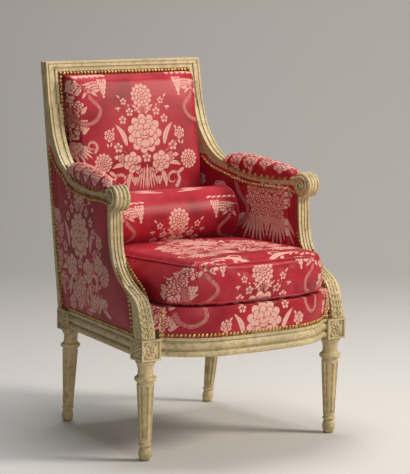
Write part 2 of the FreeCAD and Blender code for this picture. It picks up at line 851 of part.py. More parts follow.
# Side panels. Their faces are ruled between a line at the seat and a line at the arm
panelSeatZ = railFillet + 1.0
panelArmZ = armTop - 32
panelKinkY = supportFrontTop - 3.0  # in front of this the inside cover runs straight along the support
panelSpan = armRearY - 90 - panelKinkY


def outerSeatX(y):
    return railLineX(y) - clothRebate


def outerArmX(y):
    return armLineX(y) - 2.5


def innerSeatX(y):
    rear = rearDieOuter - 31.5
    behind = max(0.0, y - panelKinkY)
    return supportInnerX - 0.7 - behind * (supportInnerX - 0.7 - rear) / panelSpan


def innerArmX(y):
    return armLineX(max(y, panelKinkY)) - armWidth / math.cos(math.radians(armAngle)) - 0.3


def sideSurfaceX(seatLine, armLine, y, z):
    share = (z - panelSeatZ) / (panelArmZ - panelSeatZ)
    return seatLine(y) + (armLine(y) - seatLine(y)) * share


def sideSlab(seatLine, armLine, near, far):
    """A slab that follows the side of the chair, from one distance outside the lines to another."""
    layers = []
    places = [(-60, near), (-60, far), (panelKinkY, far), (700, far), (700, near), (panelKinkY, near)]
    for z in (dieTop - 20, overallHeight - 100):
        layers.append([Vec(sideSurfaceX(seatLine, armLine, y, z) + out, y, z) for y, out in places])
    return ruledSolid(layers[0], layers[1])


# Upper edge of the outside cloth: share of the way from the scroll to the stile, drop below the arm
outsideTop = [
    (1.03, -67.0), (0.948, -36.0), (0.9, -25.0), (0.83, -14.0), (0.77, 0.0), (0.723, 9.0),
    (0.643, 15.0), (0.505, 20.0), (0.305, 21.0), (0.09, 20.0),
]
# Its front edge: share of the support's height, distance behind the support's front
outsideFront = [
    (0.90, 15.0), (0.794, 13.0), (0.633, 12.0), (0.505, 11.5), (0.424, 14.0),
    (0.357, 20.0), (0.280, 30.0), (0.190, 34.0), (0.03, 36.0),
]


def outsideFace(margin):
    """The outside cloth as seen from the side, grown by a margin."""
    tipZ = armTop + 78
    lowZ = railFillet + 1.5 - margin
    top = [Vec(0, armShare(share), armTop - drop + margin) for share, drop in outsideTop]
    front = []
    for share, back in outsideFront:
        z = dieTop + (supportTopZ() - dieTop) * share
        front.append(Vec(0, supportYAt(share) + back - margin, z))
    front[-1].z = lowZ
    top[-1].y = front[0].y
    steps = [
        Vec(0, backFaceY(dieTop) - 11 + margin, lowZ),
        Vec(0, backFaceY(tipZ) - 11 + margin, tipZ + margin),
        Vec(0, armShare(1.05), tipZ + margin), top, front[0], front[1:],
    ]
    return outlineFace(steps + [steps[0]])


def supportYAt(share):
    """Y of the front of the support at a share of its height."""
    table = [(1.0, 0.0)] + supportFrontCurve
    bottomY = -frontDie / 2 + supportFrontBottom
    for (highShare, highGo), (lowShare, lowGo) in zip(table, table[1:]):
        if share >= lowShare:
            part = (share - lowShare) / (highShare - lowShare)
            go = lowGo + (highGo - lowGo) * part
            return supportFrontTop + (bottomY - supportFrontTop) * go
    return bottomY


def outsidePocket():
    """What the wood gives up for the outside cloth: everything outside the cloth's inner face."""
    area = outsideFace(fitClearance).extrude(Vec(400, 0, 0))
    return area.common(sideSlab(outerSeatX, outerArmX, 0, 60))


def closed(points):
    return points + [points[0]]


def outsidePanel():
    area = outsideFace(0).extrude(Vec(400, 0, 0))
    return area.common(sideSlab(outerSeatX, outerArmX, fitClearance, clothThickness + fitClearance))


# Upper edge of the inside cover: share of the way from the scroll to the stile, drop below the arm
insideTop = [
    (0.92, -38.0), (0.86, -20.0), (0.77, -8.0), (0.68, 1.0), (0.59, 10.0), (0.51, 16.0),
    (0.42, 19.0), (0.25, 20.0), (0.09, 19.0),
]


def insideFace(inset, frontInset):
    """The inside cover as seen from the side, drawn in by an amount all round, and in front."""
    low = railRebateTop + 5 + inset
    rearZ = armTop + 40 - inset
    top = [Vec(0, armShare(share), armTop - drop - inset) for share, drop in insideTop]
    front = []
    for share, back in ((0.88, 7.0), (0.70, 8.0), (0.60, 10.0), (0.50, 14.0), (0.40, 18.0), (0.30, 24.0)):
        z = dieTop + (supportTopZ() - dieTop) * share
        front.append(Vec(0, supportYAt(share) + back + frontInset, z))
    top[-1].y = front[0].y
    steps = [
        Vec(0, frontFaceY(low) - 3 - inset, low), Vec(0, frontFaceY(rearZ) - 3 - inset, rearZ), top[0], top[1:],
        front[0], front[1:], Vec(0, front[-1].y + 3, low),
    ]
    return outlineFace(steps + [steps[0]])


def insideSolid(inset, frontInset, near, far):
    """A layer of the inside padding, between two distances in from the arm's inner line."""
    area = insideFace(inset, frontInset).extrude(Vec(400, 0, 0))
    return area.common(sideSlab(innerSeatX, innerArmX, -far, -near))


def backCavity():
    """Room for the padding of the back between the side paddings."""
    return backBox(-2 * fillClearance, backFlange - 0.3, -20.0)


def insideStuffing():
    edge = sidePadThickness - clothThickness - fillClearance
    return insideSolid(8, 34, fitClearance, edge).cut([backCavity(), armBlank(fitClearance)])


def insideCover():
    """Nailed down round its edge, raised over the stuffing."""
    edge = insideSolid(0, 0, fitClearance, clothThickness + fitClearance)
    crown = insideSolid(6, 32, fitClearance, sidePadThickness)
    hollow = insideSolid(8 - fillClearance, 34 - fillClearance, fitClearance, sidePadThickness - clothThickness)
    return edge.fuse(crown).removeSplitter().cut([hollow, backCavity(), armBlank(fitClearance)])


def sideWebbing():
    """Two straps across the opening of the side, from the support's inner face to the stile."""
    straps = []
    front = supportFrontTop + 14
    frontX0 = supportInnerX - fitClearance
    for z in (armTop - 195, armTop - 112):
        layers = []
        for height in (z, z + webWidth):
            rear = frontFaceY(height) - 2 * fitClearance
            rearX0 = sideSurfaceX(innerSeatX, innerArmX, rear, height) + fitClearance + webThickness + 5
            layers.append(
                [
                    Vec(frontX0 - webThickness, front, height), Vec(frontX0, front, height),
                    Vec(rearX0, rear, height), Vec(rearX0 - webThickness, rear, height),
                ]
            )
        straps.append(ruledSolid(layers[0], layers[1]))
    return Part.makeCompound(straps)


# Back upholstery
def backWall(z, ahead):
    """Y of a layer of the back, so far before the bottom of the rebate."""
    return frontFaceY(z) + backRebate - ahead


def backLayer(inset, ahead):
    low = lowerRailBottom + 58 + inset
    high = overallHeight - crestVisible - 1 - inset
    corners = []
    for side, z in ((-1, low), (1, low), (1, high), (-1, high)):
        half = stileOuterX(z) - stileVisible - 1 - inset
        corners.append(Vec(side * half, backWall(z, ahead), z))
    return corners


def backBox(near, margin, base):
    """A raked block with square sides and rounded front edges, drawn in by a margin."""
    depth = backRebate + backPadThickness - near
    side = depth - 14.0
    sides = ruledSolid(backLayer(margin, base), backLayer(margin, side))
    shoulder = ruledSolid(backLayer(margin, side), backLayer(margin + 3.5, side + 8.0))
    rim = ruledSolid(backLayer(margin + 3.5, side + 8.0), backLayer(margin + 14.0, depth))
    crown = ruledSolid(backLayer(margin + 14.0, depth), backLayer(margin + 70.0, depth + backCrown))
    return sides.fuse([shoulder, rim, crown]).removeSplitter()


def backStuffing():
    inset = clothThickness + fillClearance
    return backBox(inset, backFlange + inset, 2 * webThickness + fitClearance)


def insideBackCover():
    """The cover of the back: a flange nailed down in the rebate, boxed over the stuffing."""
    base = 2 * webThickness + fitClearance
    flange = ruledSolid(backLayer(0, base), backLayer(0, base + clothThickness))
    hollow = backBox(clothThickness, backFlange + clothThickness, base)
    return flange.fuse(backBox(0, backFlange, base)).removeSplitter().cut(hollow)


def backStrap(x0, x1, z0, z1, ahead):
    corners = []
    for z in (z0, z1):
        corners.append(
            [
                Vec(x0, backWall(z, ahead + webThickness), z), Vec(x1, backWall(z, ahead + webThickness), z),
                Vec(x1, backWall(z, ahead), z), Vec(x0, backWall(z, ahead), z),
            ]
        )
    return ruledSolid(corners[0], corners[1])


def backWebbing():
    """Straps up and across the back, the second layer laid on the first."""
    straps = []
    low = lowerRailBottom + 12
    high = overallHeight - crestVisible - 6
    for index in range(3):
        middle = (index - 1) * 118.0
        straps.append(backStrap(middle - webWidth / 2, middle + webWidth / 2, low, high, 0.0))
    for index in range(4):
        z = lowerRailBottom + 90 + index * 122.0 * (overallHeight - 500) / 470
        half = stileOuterX(z + webWidth) - stileVisible - 6
        straps.append(backStrap(-half, half, z, z + webWidth, webThickness))
    return Part.makeCompound(straps)


def outsideBackCover():
    """The plain cover of the back's rear face, laid on the stiles, crest and lower rail."""
    low = lowerRailBottom + 10
    high = overallHeight - crestVisible
    margin = stileVisible - 15
    return rakedBar(
        stileOuterX(low) - margin, stileOuterX(high) - margin, low, high,
        lambda z: backFaceY(z) + fitClearance, lambda z: backFaceY(z) + fitClearance + clothThickness,
    )


# Seat upholstery
def platformPlan(inset, z):
    """Outline of the fixed seat at a height: bowed in front, narrowing to the back. The front
    corners draw back with height, so that the cloth meets the supports where they recede."""
    right = bowEdgeSteps(clothRebate - clothThickness - fitClearance + inset, z)
    stripY = right[-1].y
    recede = max(0.0, (z - railRebateTop) / (platformTop - railRebateTop))
    rearY = sideRailRearY + 4 - inset
    rear = innerSeatX(rearY) - sidePadThickness - 0.6 - inset
    side = [
        Vec(frontDieInner + 0.2, stripY, z),
        Vec(supportInnerX - 0.6 - inset, -14 + 16 * recede + inset, z),
        Vec(supportInnerX - 0.6 - inset, 4, z),
        Vec(innerSeatX(0) - clothThickness - 0.8 - inset, 8, z),
        Vec(innerSeatX(0) - clothThickness - 0.8 - inset, 30, z),
        Vec(innerSeatX(0) - sidePadThickness - 0.6 - inset, 44, z),
        Vec(innerSeatX(panelKinkY) - sidePadThickness - 0.6 - inset, panelKinkY, z),
        Vec(rear, rearY, z),
    ]
    edges = outlineEdges(right + side)
    left = [mirrored(edge) for edge in edges]
    back = Part.LineSegment(Vec(-rear, rearY, z), Vec(rear, rearY, z)).toShape()
    ordered = Part.sortEdges(edges + left + [back])[0]
    return Part.Wire(ordered)


def platformSolid(inset, z0, z1):
    return Part.makeLoft([platformPlan(inset, z0), platformPlan(inset, z1)], True, True)


webTop = railRebateTop + 2 * webThickness + fitClearance


def seatWebbing():
    """Straps from front to back and across them, laid on the rails."""
    straps = []
    z = railRebateTop
    for index in range(5):
        x = (index - 2) * 84.0
        front = bowFaceY(abs(x) + webWidth / 2) + 14
        straps.append(
            box(x - webWidth / 2, x + webWidth / 2, front, sideRailRearY + 30, z, z + webThickness)
        )
    z += webThickness
    for index in range(4):
        y = 70.0 + index * 92.0
        half = railLineX(y + webWidth) - clothRebate - 12
        straps.append(box(-half, half, y, y + webWidth, z, z + webThickness))
    return Part.makeCompound(straps)


def seatStuffing():
    inset = clothThickness + fillClearance
    return platformSolid(inset, webTop, platformTop - inset)


def platformCover():
    """The cover of the fixed seat: over the stuffing, and in front down to the nails on the rail."""
    outer = platformSolid(0, webTop, platformTop)
    low = railFillet + 1.0
    skirt = platformSolid(0, low, webTop).cut(platformSolid(clothThickness, low - 1, webTop + 1))
    skirt = skirt.common(box(-frontDieInner - 1, frontDieInner + 1, -200, -frontDie / 2 + 12, 0, 500))
    hollow = platformSolid(clothThickness, webTop, platformTop - clothThickness)
    return outer.fuse(skirt).removeSplitter().cut(hollow)


def sideRailInnerX(y):
    slope = (sideRailFrontX - sideRailRearX) / (sideRailRearY - sideRailFrontY)
    return railLineX(y) - railThickness * math.sqrt(1 + slope ** 2)


def cornerBlock(front):
    """A glue block in an inner corner of the seat frame, round the die and against both rails."""
    low = railBottom + 6
    gap = fitClearance
    if front:
        faceY = bowStripY + railThickness + gap
        dieX = frontDieInner - gap
        dieY = frontDie / 2 + gap
        endY = dieY + 42
    else:
        faceY = rearFaceY - rearRailSetBack - railThickness - gap
        dieX = rearDieInner - gap
        dieY = dieDepthSpacing - rearDie / 2 - gap
        endY = dieY - 42
    points = [
        Vec(dieX - 22, faceY, low), Vec(dieX, faceY, low), Vec(dieX, dieY, low),
        Vec(sideRailInnerX(dieY) - gap, dieY, low), Vec(sideRailInnerX(endY) - gap, endY, low),
    ]
    return Part.Face(Part.makePolygon(closed(points))).extrude(Vec(0, 0, 36.0))


# Arm pads
def padSection(y, width, height, lift):
    """One rib of an arm pad across the arm: straight lips down its sides, and a dome over it."""
    half = width / 2
    middle = -armWidth / 2
    base = Vec(middle - half, y, lift - padLip)
    steps = [
        base,
        Vec(middle + half, y, lift - padLip),
        Vec(middle + half, y, lift + height * 0.3),
        (Vec(middle, y, lift + height), Vec(middle - half, y, lift + height * 0.3)),
    ]
    steps.append(base)
    return Part.Wire(outlineEdges(steps))


# Each row: share of the way from the scroll to the stile, share of full width and of full height
padRibs = [
    (0.085, 0.97, 0.25), (0.135, 0.99, 0.56), (0.225, 1.0, 0.82), (0.39, 1.0, 1.0),
    (0.563, 1.0, 0.97), (0.66, 0.99, 0.82), (0.72, 0.98, 0.60), (0.765, 0.97, 0.30),
]


def armTopZ(y):
    """Height of the arm's upper face at a Y, read from its outline by straight steps."""
    points = armTopSteps()
    place = armPlaceY(y)
    for rear, front in zip(points, points[1:]):
        if front.y <= place <= rear.y:
            part = (place - front.y) / (rear.y - front.y)
            return front.z + (rear.z - front.z) * part
    return armTop


def armPad():
    """The pad on the arm, lofted through its ribs and trimmed to the wood."""
    width = armWidth + 2 * padOverhang
    wires = []
    for share, wide, high in padRibs:
        y = armShare(share)
        wires.append(padSection(armPlaceY(y), width * wide, padThickness * high, armTopZ(y)))
    pad = Part.makeLoft(wires, True, False)
    return armPlaced(pad).cut(armBlank(fitClearance))


# Loose cushion
cushionBottom = platformTop + softClearance
cushionFrontY = bowFrontY - cushionOverhang


def cushionRearY():
    return backWall(cushionBackTop, backRebate + backPadThickness + backCrown) - 18


def cushionPlan(inset, z):
    """Outline of the seat cushion: bowed front, ears before the arm supports, tapered sides."""
    right = bowEdgeSteps(inset - cushionOverhang, z)
    corner = cushionEarX - inset
    earY = 24.0
    rearY = cushionRearY() - inset
    waistY = supportFrontTop + 8
    waistX = min(innerSeatX(waistY), innerArmX(waistY)) - sidePadThickness - 4 - inset
    rearX0 = min(innerSeatX(rearY), innerArmX(rearY)) - sidePadThickness - softClearance - 2 - inset
    side = [
        (Vec(corner - 2.6, earY - 26, z), Vec(corner, earY, z)),
        Vec(corner, supportFrontTop - 36, z),
        Vec(waistX, waistY, z),
        Vec(rearX0, rearY - 14, z),
        (Vec(rearX0 - 4, rearY - 4, z), Vec(rearX0 - 14, rearY, z)),
    ]
    edges = outlineEdges(right + side)
    left = [mirrored(edge) for edge in edges]
    back = Part.LineSegment(Vec(-rearX0 + 14, rearY, z), Vec(rearX0 - 14, rearY, z)).toShape()
    return Part.Wire(Part.sortEdges(edges + left + [back])[0])


def cushionBlock(inset):
    """The plan drawn up, then shaped from the side and from the front with rounded corners."""
    low = cushionBottom + inset
    body = Part.Face(cushionPlan(inset, low - 5)).extrude(Vec(0, 0, 300))
    frontY = cushionFrontY + inset
    rearY = cushionRearY() - inset
    side = roundedFace(
        [
            (Vec(0, frontY, low), 12.0),
            (Vec(0, rearY, low), 8.0),
            (Vec(0, rearY, cushionBackTop - inset), 26.0),
            (Vec(0, frontY, cushionFrontTop - inset), 22.0),
        ]
    ).extrude(Vec(700, 0, 0))
    side.translate(Vec(-350, 0, 0))
    half = cushionEarX - inset + cushionEndEase
    top = cushionFrontTop + 5
    ends = roundedFace(
        [
            (Vec(-half, 0, low), 14.0), (Vec(half, 0, low), 14.0), (Vec(half, 0, top - 62), 60.0),
            (Vec(half - 68, 0, top), 60.0), (Vec(-half + 68, 0, top), 60.0), (Vec(-half, 0, top - 62), 60.0),
        ]
    ).extrude(Vec(0, 800, 0))
    ends.translate(Vec(0, -250, 0))
    return body.common(side).common(ends)


def cushionFilling():
    return cushionBlock(clothThickness + fillClearance)


def cushionCover():
    return cushionBlock(0).cut(cushionBlock(clothThickness))


# Loose bolster
def cushionTopZ(y):
    slope = (cushionFrontTop - cushionBackTop) / (cushionRearY() - cushionFrontY)
    return cushionFrontTop - slope * (y - cushionFrontY)


def bolsterCentre():
    """Rests on the cushion and against the padded back."""
    y = backWall(cushionBackTop + bolsterRadius, backRebate + backPadThickness + backCrown)
    y -= bolsterRadius / math.cos(math.radians(rakeAngle)) + bolsterLead
    return Vec(0, y, cushionTopZ(y) + bolsterRadius + softClearance)


def bolsterBody(inset):
    """A round bolster with rounded rims."""
    half = bolsterHalfLength - inset
    body = Part.makeCylinder(bolsterRadius - inset, 2 * half, Vec(-half, 0, 0), Vec(1, 0, 0))
    rims = [edge for edge in body.Edges if isinstance(edge.Curve, Part.Circle)]
    body = body.makeFillet(bolsterEdgeRadius - inset, rims)
    body.translate(bolsterCentre())
    return body


def bolsterFilling():
    return bolsterBody(clothThickness + fillClearance)


def bolsterCover():
    return bolsterBody(0).cut(bolsterBody(clothThickness))


# Where the origin lies: on the floor, under the middle of the whole chair
def originY():
    return (cushionFrontY + backFaceY(overallHeight)) / 2


def writeNode(name, shape):
    moved = shape.copy()
    moved.translate(Vec(0, -originY(), 0))
    moved.exportStep(os.path.join("parts", name + ".step"))
    print(name, len(moved.Solids), round(moved.Volume / 1000.0, 1), moved.isValid())


def writePair(name, shape):
    writeNode("right_" + name, shape)
    writeNode("left_" + name, mirrored(shape))


def main():
    os.makedirs("parts", exist_ok=True)
    writePair("front_leg", frontLeg())
    writeNode("right_rear_post", rearPost(1))
    writeNode("left_rear_post", rearPost(-1))
    writeNode("front_seat_rail", frontRail())
    writePair("seat_rail", sideRail())
    writeNode("rear_seat_rail", rearRail())
    writeNode("crest_rail", crestRail())
    writeNode("lower_back_rail", lowerBackRail())
    writePair("arm", arm())
    writePair("arm_support", armSupport())
    blocks = [cornerBlock(True), cornerBlock(False)]
    blocks += [mirrored(block) for block in blocks]
    writeNode("corner_blocks", Part.makeCompound(blocks))
    writeNode("seat_webbing", seatWebbing())
    writeNode("seat_stuffing", seatStuffing())
    writeNode("seat_platform_cover", platformCover())
    writeNode("back_webbing", backWebbing())
    writeNode("back_stuffing", backStuffing())
    writeNode("inside_back_cover", insideBackCover())
    writeNode("outside_back_cover", outsideBackCover())
    writePair("side_webbing", sideWebbing())
    writePair("side_stuffing", insideStuffing())
    writePair("inside_arm_cover", insideCover())
    writePair("outside_arm_cover", outsidePanel())
    writePair("arm_pad", armPad())
    writeNode("seat_cushion_filling", cushionFilling())
    writeNode("seat_cushion_cover", cushionCover())
    writeNode("bolster_filling", bolsterFilling())
    writeNode("bolster_cover", bolsterCover())


main()
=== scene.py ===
import bmesh
import bpy
import json
import numpy as np
from math import atan, cos, hypot, pi, radians, sin, sqrt
from mathutils import Matrix, Vector
from mathutils.bvhtree import BVHTree


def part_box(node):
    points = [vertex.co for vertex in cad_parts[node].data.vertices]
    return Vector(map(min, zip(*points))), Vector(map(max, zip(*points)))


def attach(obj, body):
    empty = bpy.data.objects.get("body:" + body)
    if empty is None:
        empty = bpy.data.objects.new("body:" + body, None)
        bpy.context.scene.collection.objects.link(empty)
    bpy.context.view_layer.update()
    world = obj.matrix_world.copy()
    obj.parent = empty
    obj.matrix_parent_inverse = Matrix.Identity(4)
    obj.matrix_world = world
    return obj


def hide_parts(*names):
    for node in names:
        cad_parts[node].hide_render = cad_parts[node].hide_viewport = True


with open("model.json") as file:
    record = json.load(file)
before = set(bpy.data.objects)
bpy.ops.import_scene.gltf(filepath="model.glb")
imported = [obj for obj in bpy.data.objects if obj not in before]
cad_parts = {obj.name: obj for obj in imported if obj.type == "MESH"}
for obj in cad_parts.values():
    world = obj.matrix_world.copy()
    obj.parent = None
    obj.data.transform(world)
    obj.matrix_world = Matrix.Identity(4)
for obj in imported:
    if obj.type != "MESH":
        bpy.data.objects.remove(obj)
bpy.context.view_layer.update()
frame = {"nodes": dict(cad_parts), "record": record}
nodes = frame["nodes"]
scene = bpy.context.scene
lowLeg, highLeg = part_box("right_front_leg")
legY = (lowLeg.y + highLeg.y) / 2  # sizes below are in mm, with Y = 0 on the axes of the front legs
print("frame loaded")


def at(x, y, z):
    return Vector((x / 1000, y / 1000 + legY, z / 1000))


# the raked back, the stiles that lean in and the arms that slant, as the wood has them; mm
wood = {"railTopZ": 313, "backY": 485.5, "rake": 0.178, "stileMm": 29, "stileX": 261.5, "leanMm": 14,
        "stileHighMm": 657, "armX": 318, "armStartY": 98, "armSlant": 0.1514}


def backFaceY(z):
    return wood["backY"] + (z - wood["railTopZ"]) * wood["rake"]


def frontFaceY(z):
    return backFaceY(z) - wood["stileMm"]


def stileOuterX(z):
    return wood["stileX"] - wood["leanMm"] * (z - wood["railTopZ"]) / wood["stileHighMm"]


def armLineX(y):
    return wood["armX"] - (y - wood["armStartY"]) * wood["armSlant"]


def clamp(values):
    return np.clip(values, 0, 1)


# ---- materials
def linear(code):
    # an sRGB hex code as a linear colour
    values = [int(code[i:i + 2], 16) / 255 for i in (1, 3, 5)]
    return tuple(v / 12.92 if v <= 0.04045 else ((v + 0.055) / 1.055) ** 2.4 for v in values) + (1.0,)


def addNode(tree, kind, settings=None, links=None):
    made = tree.nodes.new("ShaderNode" + kind)
    for name, value in (settings or {}).items():
        setattr(made, name, value)
    for name, value in (links or {}).items():
        if isinstance(value, bpy.types.NodeSocket):
            tree.links.new(value, made.inputs[name])
        else:
            made.inputs[name].default_value = value
    return made


def newMaterial(name, inputs=None):
    # a material with its tree, its shader, and the place on the piece that its textures follow
    material = bpy.data.materials.new(name)
    material.use_nodes = True
    tree = material.node_tree
    tree.nodes.clear()
    shader = addNode(tree, "BsdfPrincipled", links=inputs)
    addNode(tree, "OutputMaterial", links={"Surface": shader.outputs[0]})
    return material, tree, shader, addNode(tree, "TexCoord").outputs["Object"]


def ramp(tree, factor, stops):
    made = addNode(tree, "ValToRGB", links={"Fac": factor})
    elements = made.color_ramp.elements
    while len(elements) < len(stops):
        elements.new(0.5)
    for element, (place, colour) in zip(elements, stops):
        element.position = place
        element.color = linear(colour) if isinstance(colour, str) else (colour, colour, colour, 1)
    return made.outputs["Color"]


def mixColour(tree, factor, first, second):
    return addNode(tree, "Mix", {"data_type": "RGBA"}, {0: factor, 6: first, 7: second}).outputs[2]


def stain(tree, factor, stops, tint, code):
    # a colour laid over a tint where the ramped factor is high
    return mixColour(tree, ramp(tree, factor, stops), tint, linear(code))


def maths(tree, how, first, second=0.0, third=0.0):
    return addNode(tree, "Math", {"operation": how}, {0: first, 1: second, 2: third}).outputs[0]


def noise(tree, place, scale, detail, roughness=0.5):
    return addNode(tree, "TexNoise", links={
        "Vector": place, "Scale": scale, "Detail": detail, "Roughness": roughness}).outputs[0]


def ribbed(tree, place, direction, scale, distortion):
    return addNode(tree, "TexWave", {"wave_type": "BANDS", "bands_direction": direction}, {
        "Vector": place, "Scale": scale, "Distortion": distortion, "Detail": 1.0}).outputs[1]


def roughen(tree, shader, height, strength, distance):
    bump = addNode(tree, "Bump", links={"Height": height, "Strength": strength, "Distance": distance})
    tree.links.new(bump.outputs[0], shader.inputs["Normal"])


# the dark brown laid into the grooves, and its reach, are painted shade; the other colours are the paint's own
paint = {
    "coat": "#C4AF82", "faded": "#978157", "light": "#D2C094", "green": "#90865E",
    "hollowShade": "#6B5632", "bareWood": "#8F6E3F", "patchMm": 15.0, "brushMm": 1.6, "shadeReachMm": 8.0,
    "rubbedMm": 2.8,
}


def paintedBeech():
    # thin cream distemper over carved beech: uneven, rubbed through on the edges, with painted shade darkening the
    # hollows
    material, tree, shader, place = newMaterial("cream paint on carved beech")
    patches = noise(tree, place, 1000 / paint["patchMm"], 5.0, 0.65)
    wide = noise(tree, place, 9.0, 3.0)
    fine = noise(tree, place, 500 / paint["brushMm"], 3.0, 0.7)
    tint = ramp(tree, patches, [(0.30, paint["faded"]), (0.47, paint["coat"]), (0.68, paint["light"])])
    tint = stain(tree, wide, [(0.45, 0.0), (0.7, 0.55)], tint, paint["green"])
    tint = stain(tree, fine, [(0.35, 0.35), (0.55, 0.0)], tint, paint["faded"])
    # painted shade: ambient occlusion within a few mm darkens grooves and hollows towards a dark brown, broken up
    # by the brush noise
    hollow = addNode(tree, "AmbientOcclusion", {"samples": 8}, {"Distance": paint["shadeReachMm"] / 1000})
    hollowShadeMask = maths(tree, "ADD", hollow.outputs["AO"], maths(tree, "MULTIPLY_ADD", fine, 0.3, -0.15))
    tint = stain(tree, hollowShadeMask, [(0.28, 0.9), (0.5, 0.45), (0.8, 0.0)], tint, paint["hollowShade"])
    edge = addNode(tree, "AmbientOcclusion", {"samples": 6, "only_local": True, "inside": True}, {
        "Distance": paint["rubbedMm"] / 1000})
    rub = maths(tree, "MULTIPLY", ramp(tree, edge.outputs["AO"], [(0.35, 1.0), (0.6, 0.0)]),
                ramp(tree, patches, [(0.42, 0.0), (0.62, 0.8)]))
    tint = mixColour(tree, rub, tint, linear(paint["bareWood"]))
    tree.links.new(tint, shader.inputs["Base Color"])
    tree.links.new(ramp(tree, fine, [(0.3, 0.42), (0.7, 0.62)]), shader.inputs["Roughness"])
    roughen(tree, shader, maths(tree, "ADD", fine, patches), 0.35, 0.0012)
    return material


def plainBeech():
    # sawn beech, unpainted: straight grain about 3 mm apart, dry and matt
    material, tree, shader, place = newMaterial("sawn beech", {"Roughness": 0.75})
    stretched = addNode(tree, "Mapping", links={"Vector": place, "Scale": (30.0, 330.0, 330.0)})
    grain = noise(tree, stretched.outputs[0], 1.0, 4.0)
    tree.links.new(ramp(tree, grain, [(0.3, "#8A6638"), (0.7, "#BC9762")]), shader.inputs["Base Color"])
    return material


silk = {
    "ground": "#A5202E", "groundDeep": "#84121F", "groundFaded": "#B4303F",
    "dim": "#AE4048", "rose": "#B96C66", "cream": "#DCAB9B", "creamDull": "#C48E80",
    "ribMm": 1.6, "edgeMm": 0.55,
}


def figuredSilk():
    # lampas: a satin ground with a paler, flatter taffeta figure laid over it
    material, tree, shader, place = newMaterial("crimson silk lampas", {
        "Sheen Weight": 0.02, "Sheen Roughness": 0.4, "Sheen Tint": linear("#F0A0A8"), "Specular IOR Level": 0.24})
    field = addNode(tree, "Attribute", {"attribute_name": "figure"}).outputs["Fac"]
    tone = addNode(tree, "Attribute", {"attribute_name": "tone"}).outputs["Fac"]
    panel = addNode(tree, "UVMap", {"uv_map": "panel"}).outputs[0]
    wear = noise(tree, place, 11.0, 4.0)
    along = addNode(tree, "Mapping", links={"Vector": panel, "Scale": (900.0, 60.0, 1.0)}).outputs[0]
    ground = ramp(tree, wear, [(0.3, silk["groundDeep"]), (0.5, silk["ground"]), (0.75, silk["groundFaded"])])
    ground = stain(tree, noise(tree, along, 1.0, 2.0), [(0.4, 0.0), (0.7, 0.25)], ground, silk["groundDeep"])
    pale = ramp(tree, tone, [
        (0.15, silk["dim"]), (0.5, silk["rose"]), (0.8, silk["creamDull"]), (1.0, silk["cream"])])
    pale = stain(tree, noise(tree, panel, 330.0, 2.0), [(0.36, 0.55), (0.52, 0.0)], pale, silk["rose"])
    shown = addNode(tree, "MapRange", {"interpolation_type": "SMOOTHSTEP"}, {
        "Value": field, "From Min": -silk["edgeMm"] * 0.5, "From Max": silk["edgeMm"]}).outputs[0]
    tree.links.new(mixColour(tree, shown, ground, pale), shader.inputs["Base Color"])
    tree.links.new(maths(tree, "MULTIPLY_ADD", shown, 0.14, 0.42), shader.inputs["Roughness"])
    ribs = ribbed(tree, panel, "Y", 314 / silk["ribMm"], 0.6)
    height = maths(tree, "ADD", maths(tree, "MULTIPLY", shown, 0.8), maths(tree, "MULTIPLY", ribs, 0.25))
    roughen(tree, shader, height, 0.3, 0.0004)
    return material


def plainSilk():
    # plain-woven crimson silk of the outside back: fine ribs across, no figure
    material, tree, shader, place = newMaterial("plain crimson silk", {"Roughness": 0.55, "Sheen Weight": 0.2})
    wear = noise(tree, place, 8.0, 5.0)
    tree.links.new(ramp(tree, wear, [(0.3, "#6E0F1C"), (0.7, "#8C1D2E")]), shader.inputs["Base Color"])
    roughen(tree, shader, ribbed(tree, place, "Z", 32.0, 0.8), 0.4, 0.0005)
    return material


def agedBrass():
    # stamped brass nail heads, rubbed bright on the dome, with painted shade darkening them round the foot
    material, tree, shader, place = newMaterial("aged brass", {"Metallic": 0.85, "Roughness": 0.38})
    # painted shade: ambient occlusion darkens the heads towards a near-black brown where they meet the cloth
    hollow = addNode(tree, "AmbientOcclusion", {"samples": 6}, {"Distance": 0.004})
    tint = ramp(tree, noise(tree, place, 120.0, 3.0), [(0.35, "#866A38"), (0.65, "#CBA660")])
    tint = stain(tree, hollow.outputs["AO"], [(0.2, 0.8), (0.6, 0.0)], tint, "#33240F")
    tree.links.new(tint, shader.inputs["Base Color"])
    return material


def juteWebbing():
    # jute webbing: coarse basket weave of 3 mm yarns
    material, tree, shader, place = newMaterial("jute webbing", {"Roughness": 0.9})
    weave = addNode(tree, "TexChecker", links={
        "Vector": place, "Scale": 330.0, "Color1": linear("#B39767"), "Color2": linear("#8C7146")})
    tree.links.new(weave.outputs[0], shader.inputs["Base Color"])
    return material


beech = paintedBeech()
lampas = figuredSilk()
backCloth = plainSilk()
brass = agedBrass()
jute = juteWebbing()
finishes = {
    "painted_wood": beech, "plain_wood": plainBeech(), "figured_silk": lampas,
    "plain_silk": backCloth, "webbing": jute, "stuffing": jute,
}
slots = {entry["node"]: entry["material_slot"] for entry in frame["record"]["subparts"]}
for name, thing in nodes.items():
    thing.data.materials.clear()
    thing.data.materials.append(finishes[slots[name]])
print("materials made")


# ---- meshes
def placed(name, mesh, material, body, smooth=True):
    thing = bpy.data.objects.new(name, mesh)
    scene.collection.objects.link(thing)
    mesh.materials.clear()
    mesh.materials.append(material)
    if smooth:
        mesh.shade_smooth()
    if body:
        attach(thing, body)
    return thing


def newObject(name, bm, material, body="frame", smooth=True):
    mesh = bpy.data.meshes.new(name)
    bm.to_mesh(mesh)
    bm.free()
    return placed(name, mesh, material, body, smooth)


def mirrorX(bm):
    copy = bmesh.ops.duplicate(bm, geom=bm.verts[:] + bm.edges[:] + bm.faces[:])["geom"]
    bmesh.ops.scale(bm, vec=(-1, 1, 1), verts=[item for item in copy if isinstance(item, bmesh.types.BMVert)])
    bmesh.ops.reverse_faces(bm, faces=[item for item in copy if isinstance(item, bmesh.types.BMFace)])


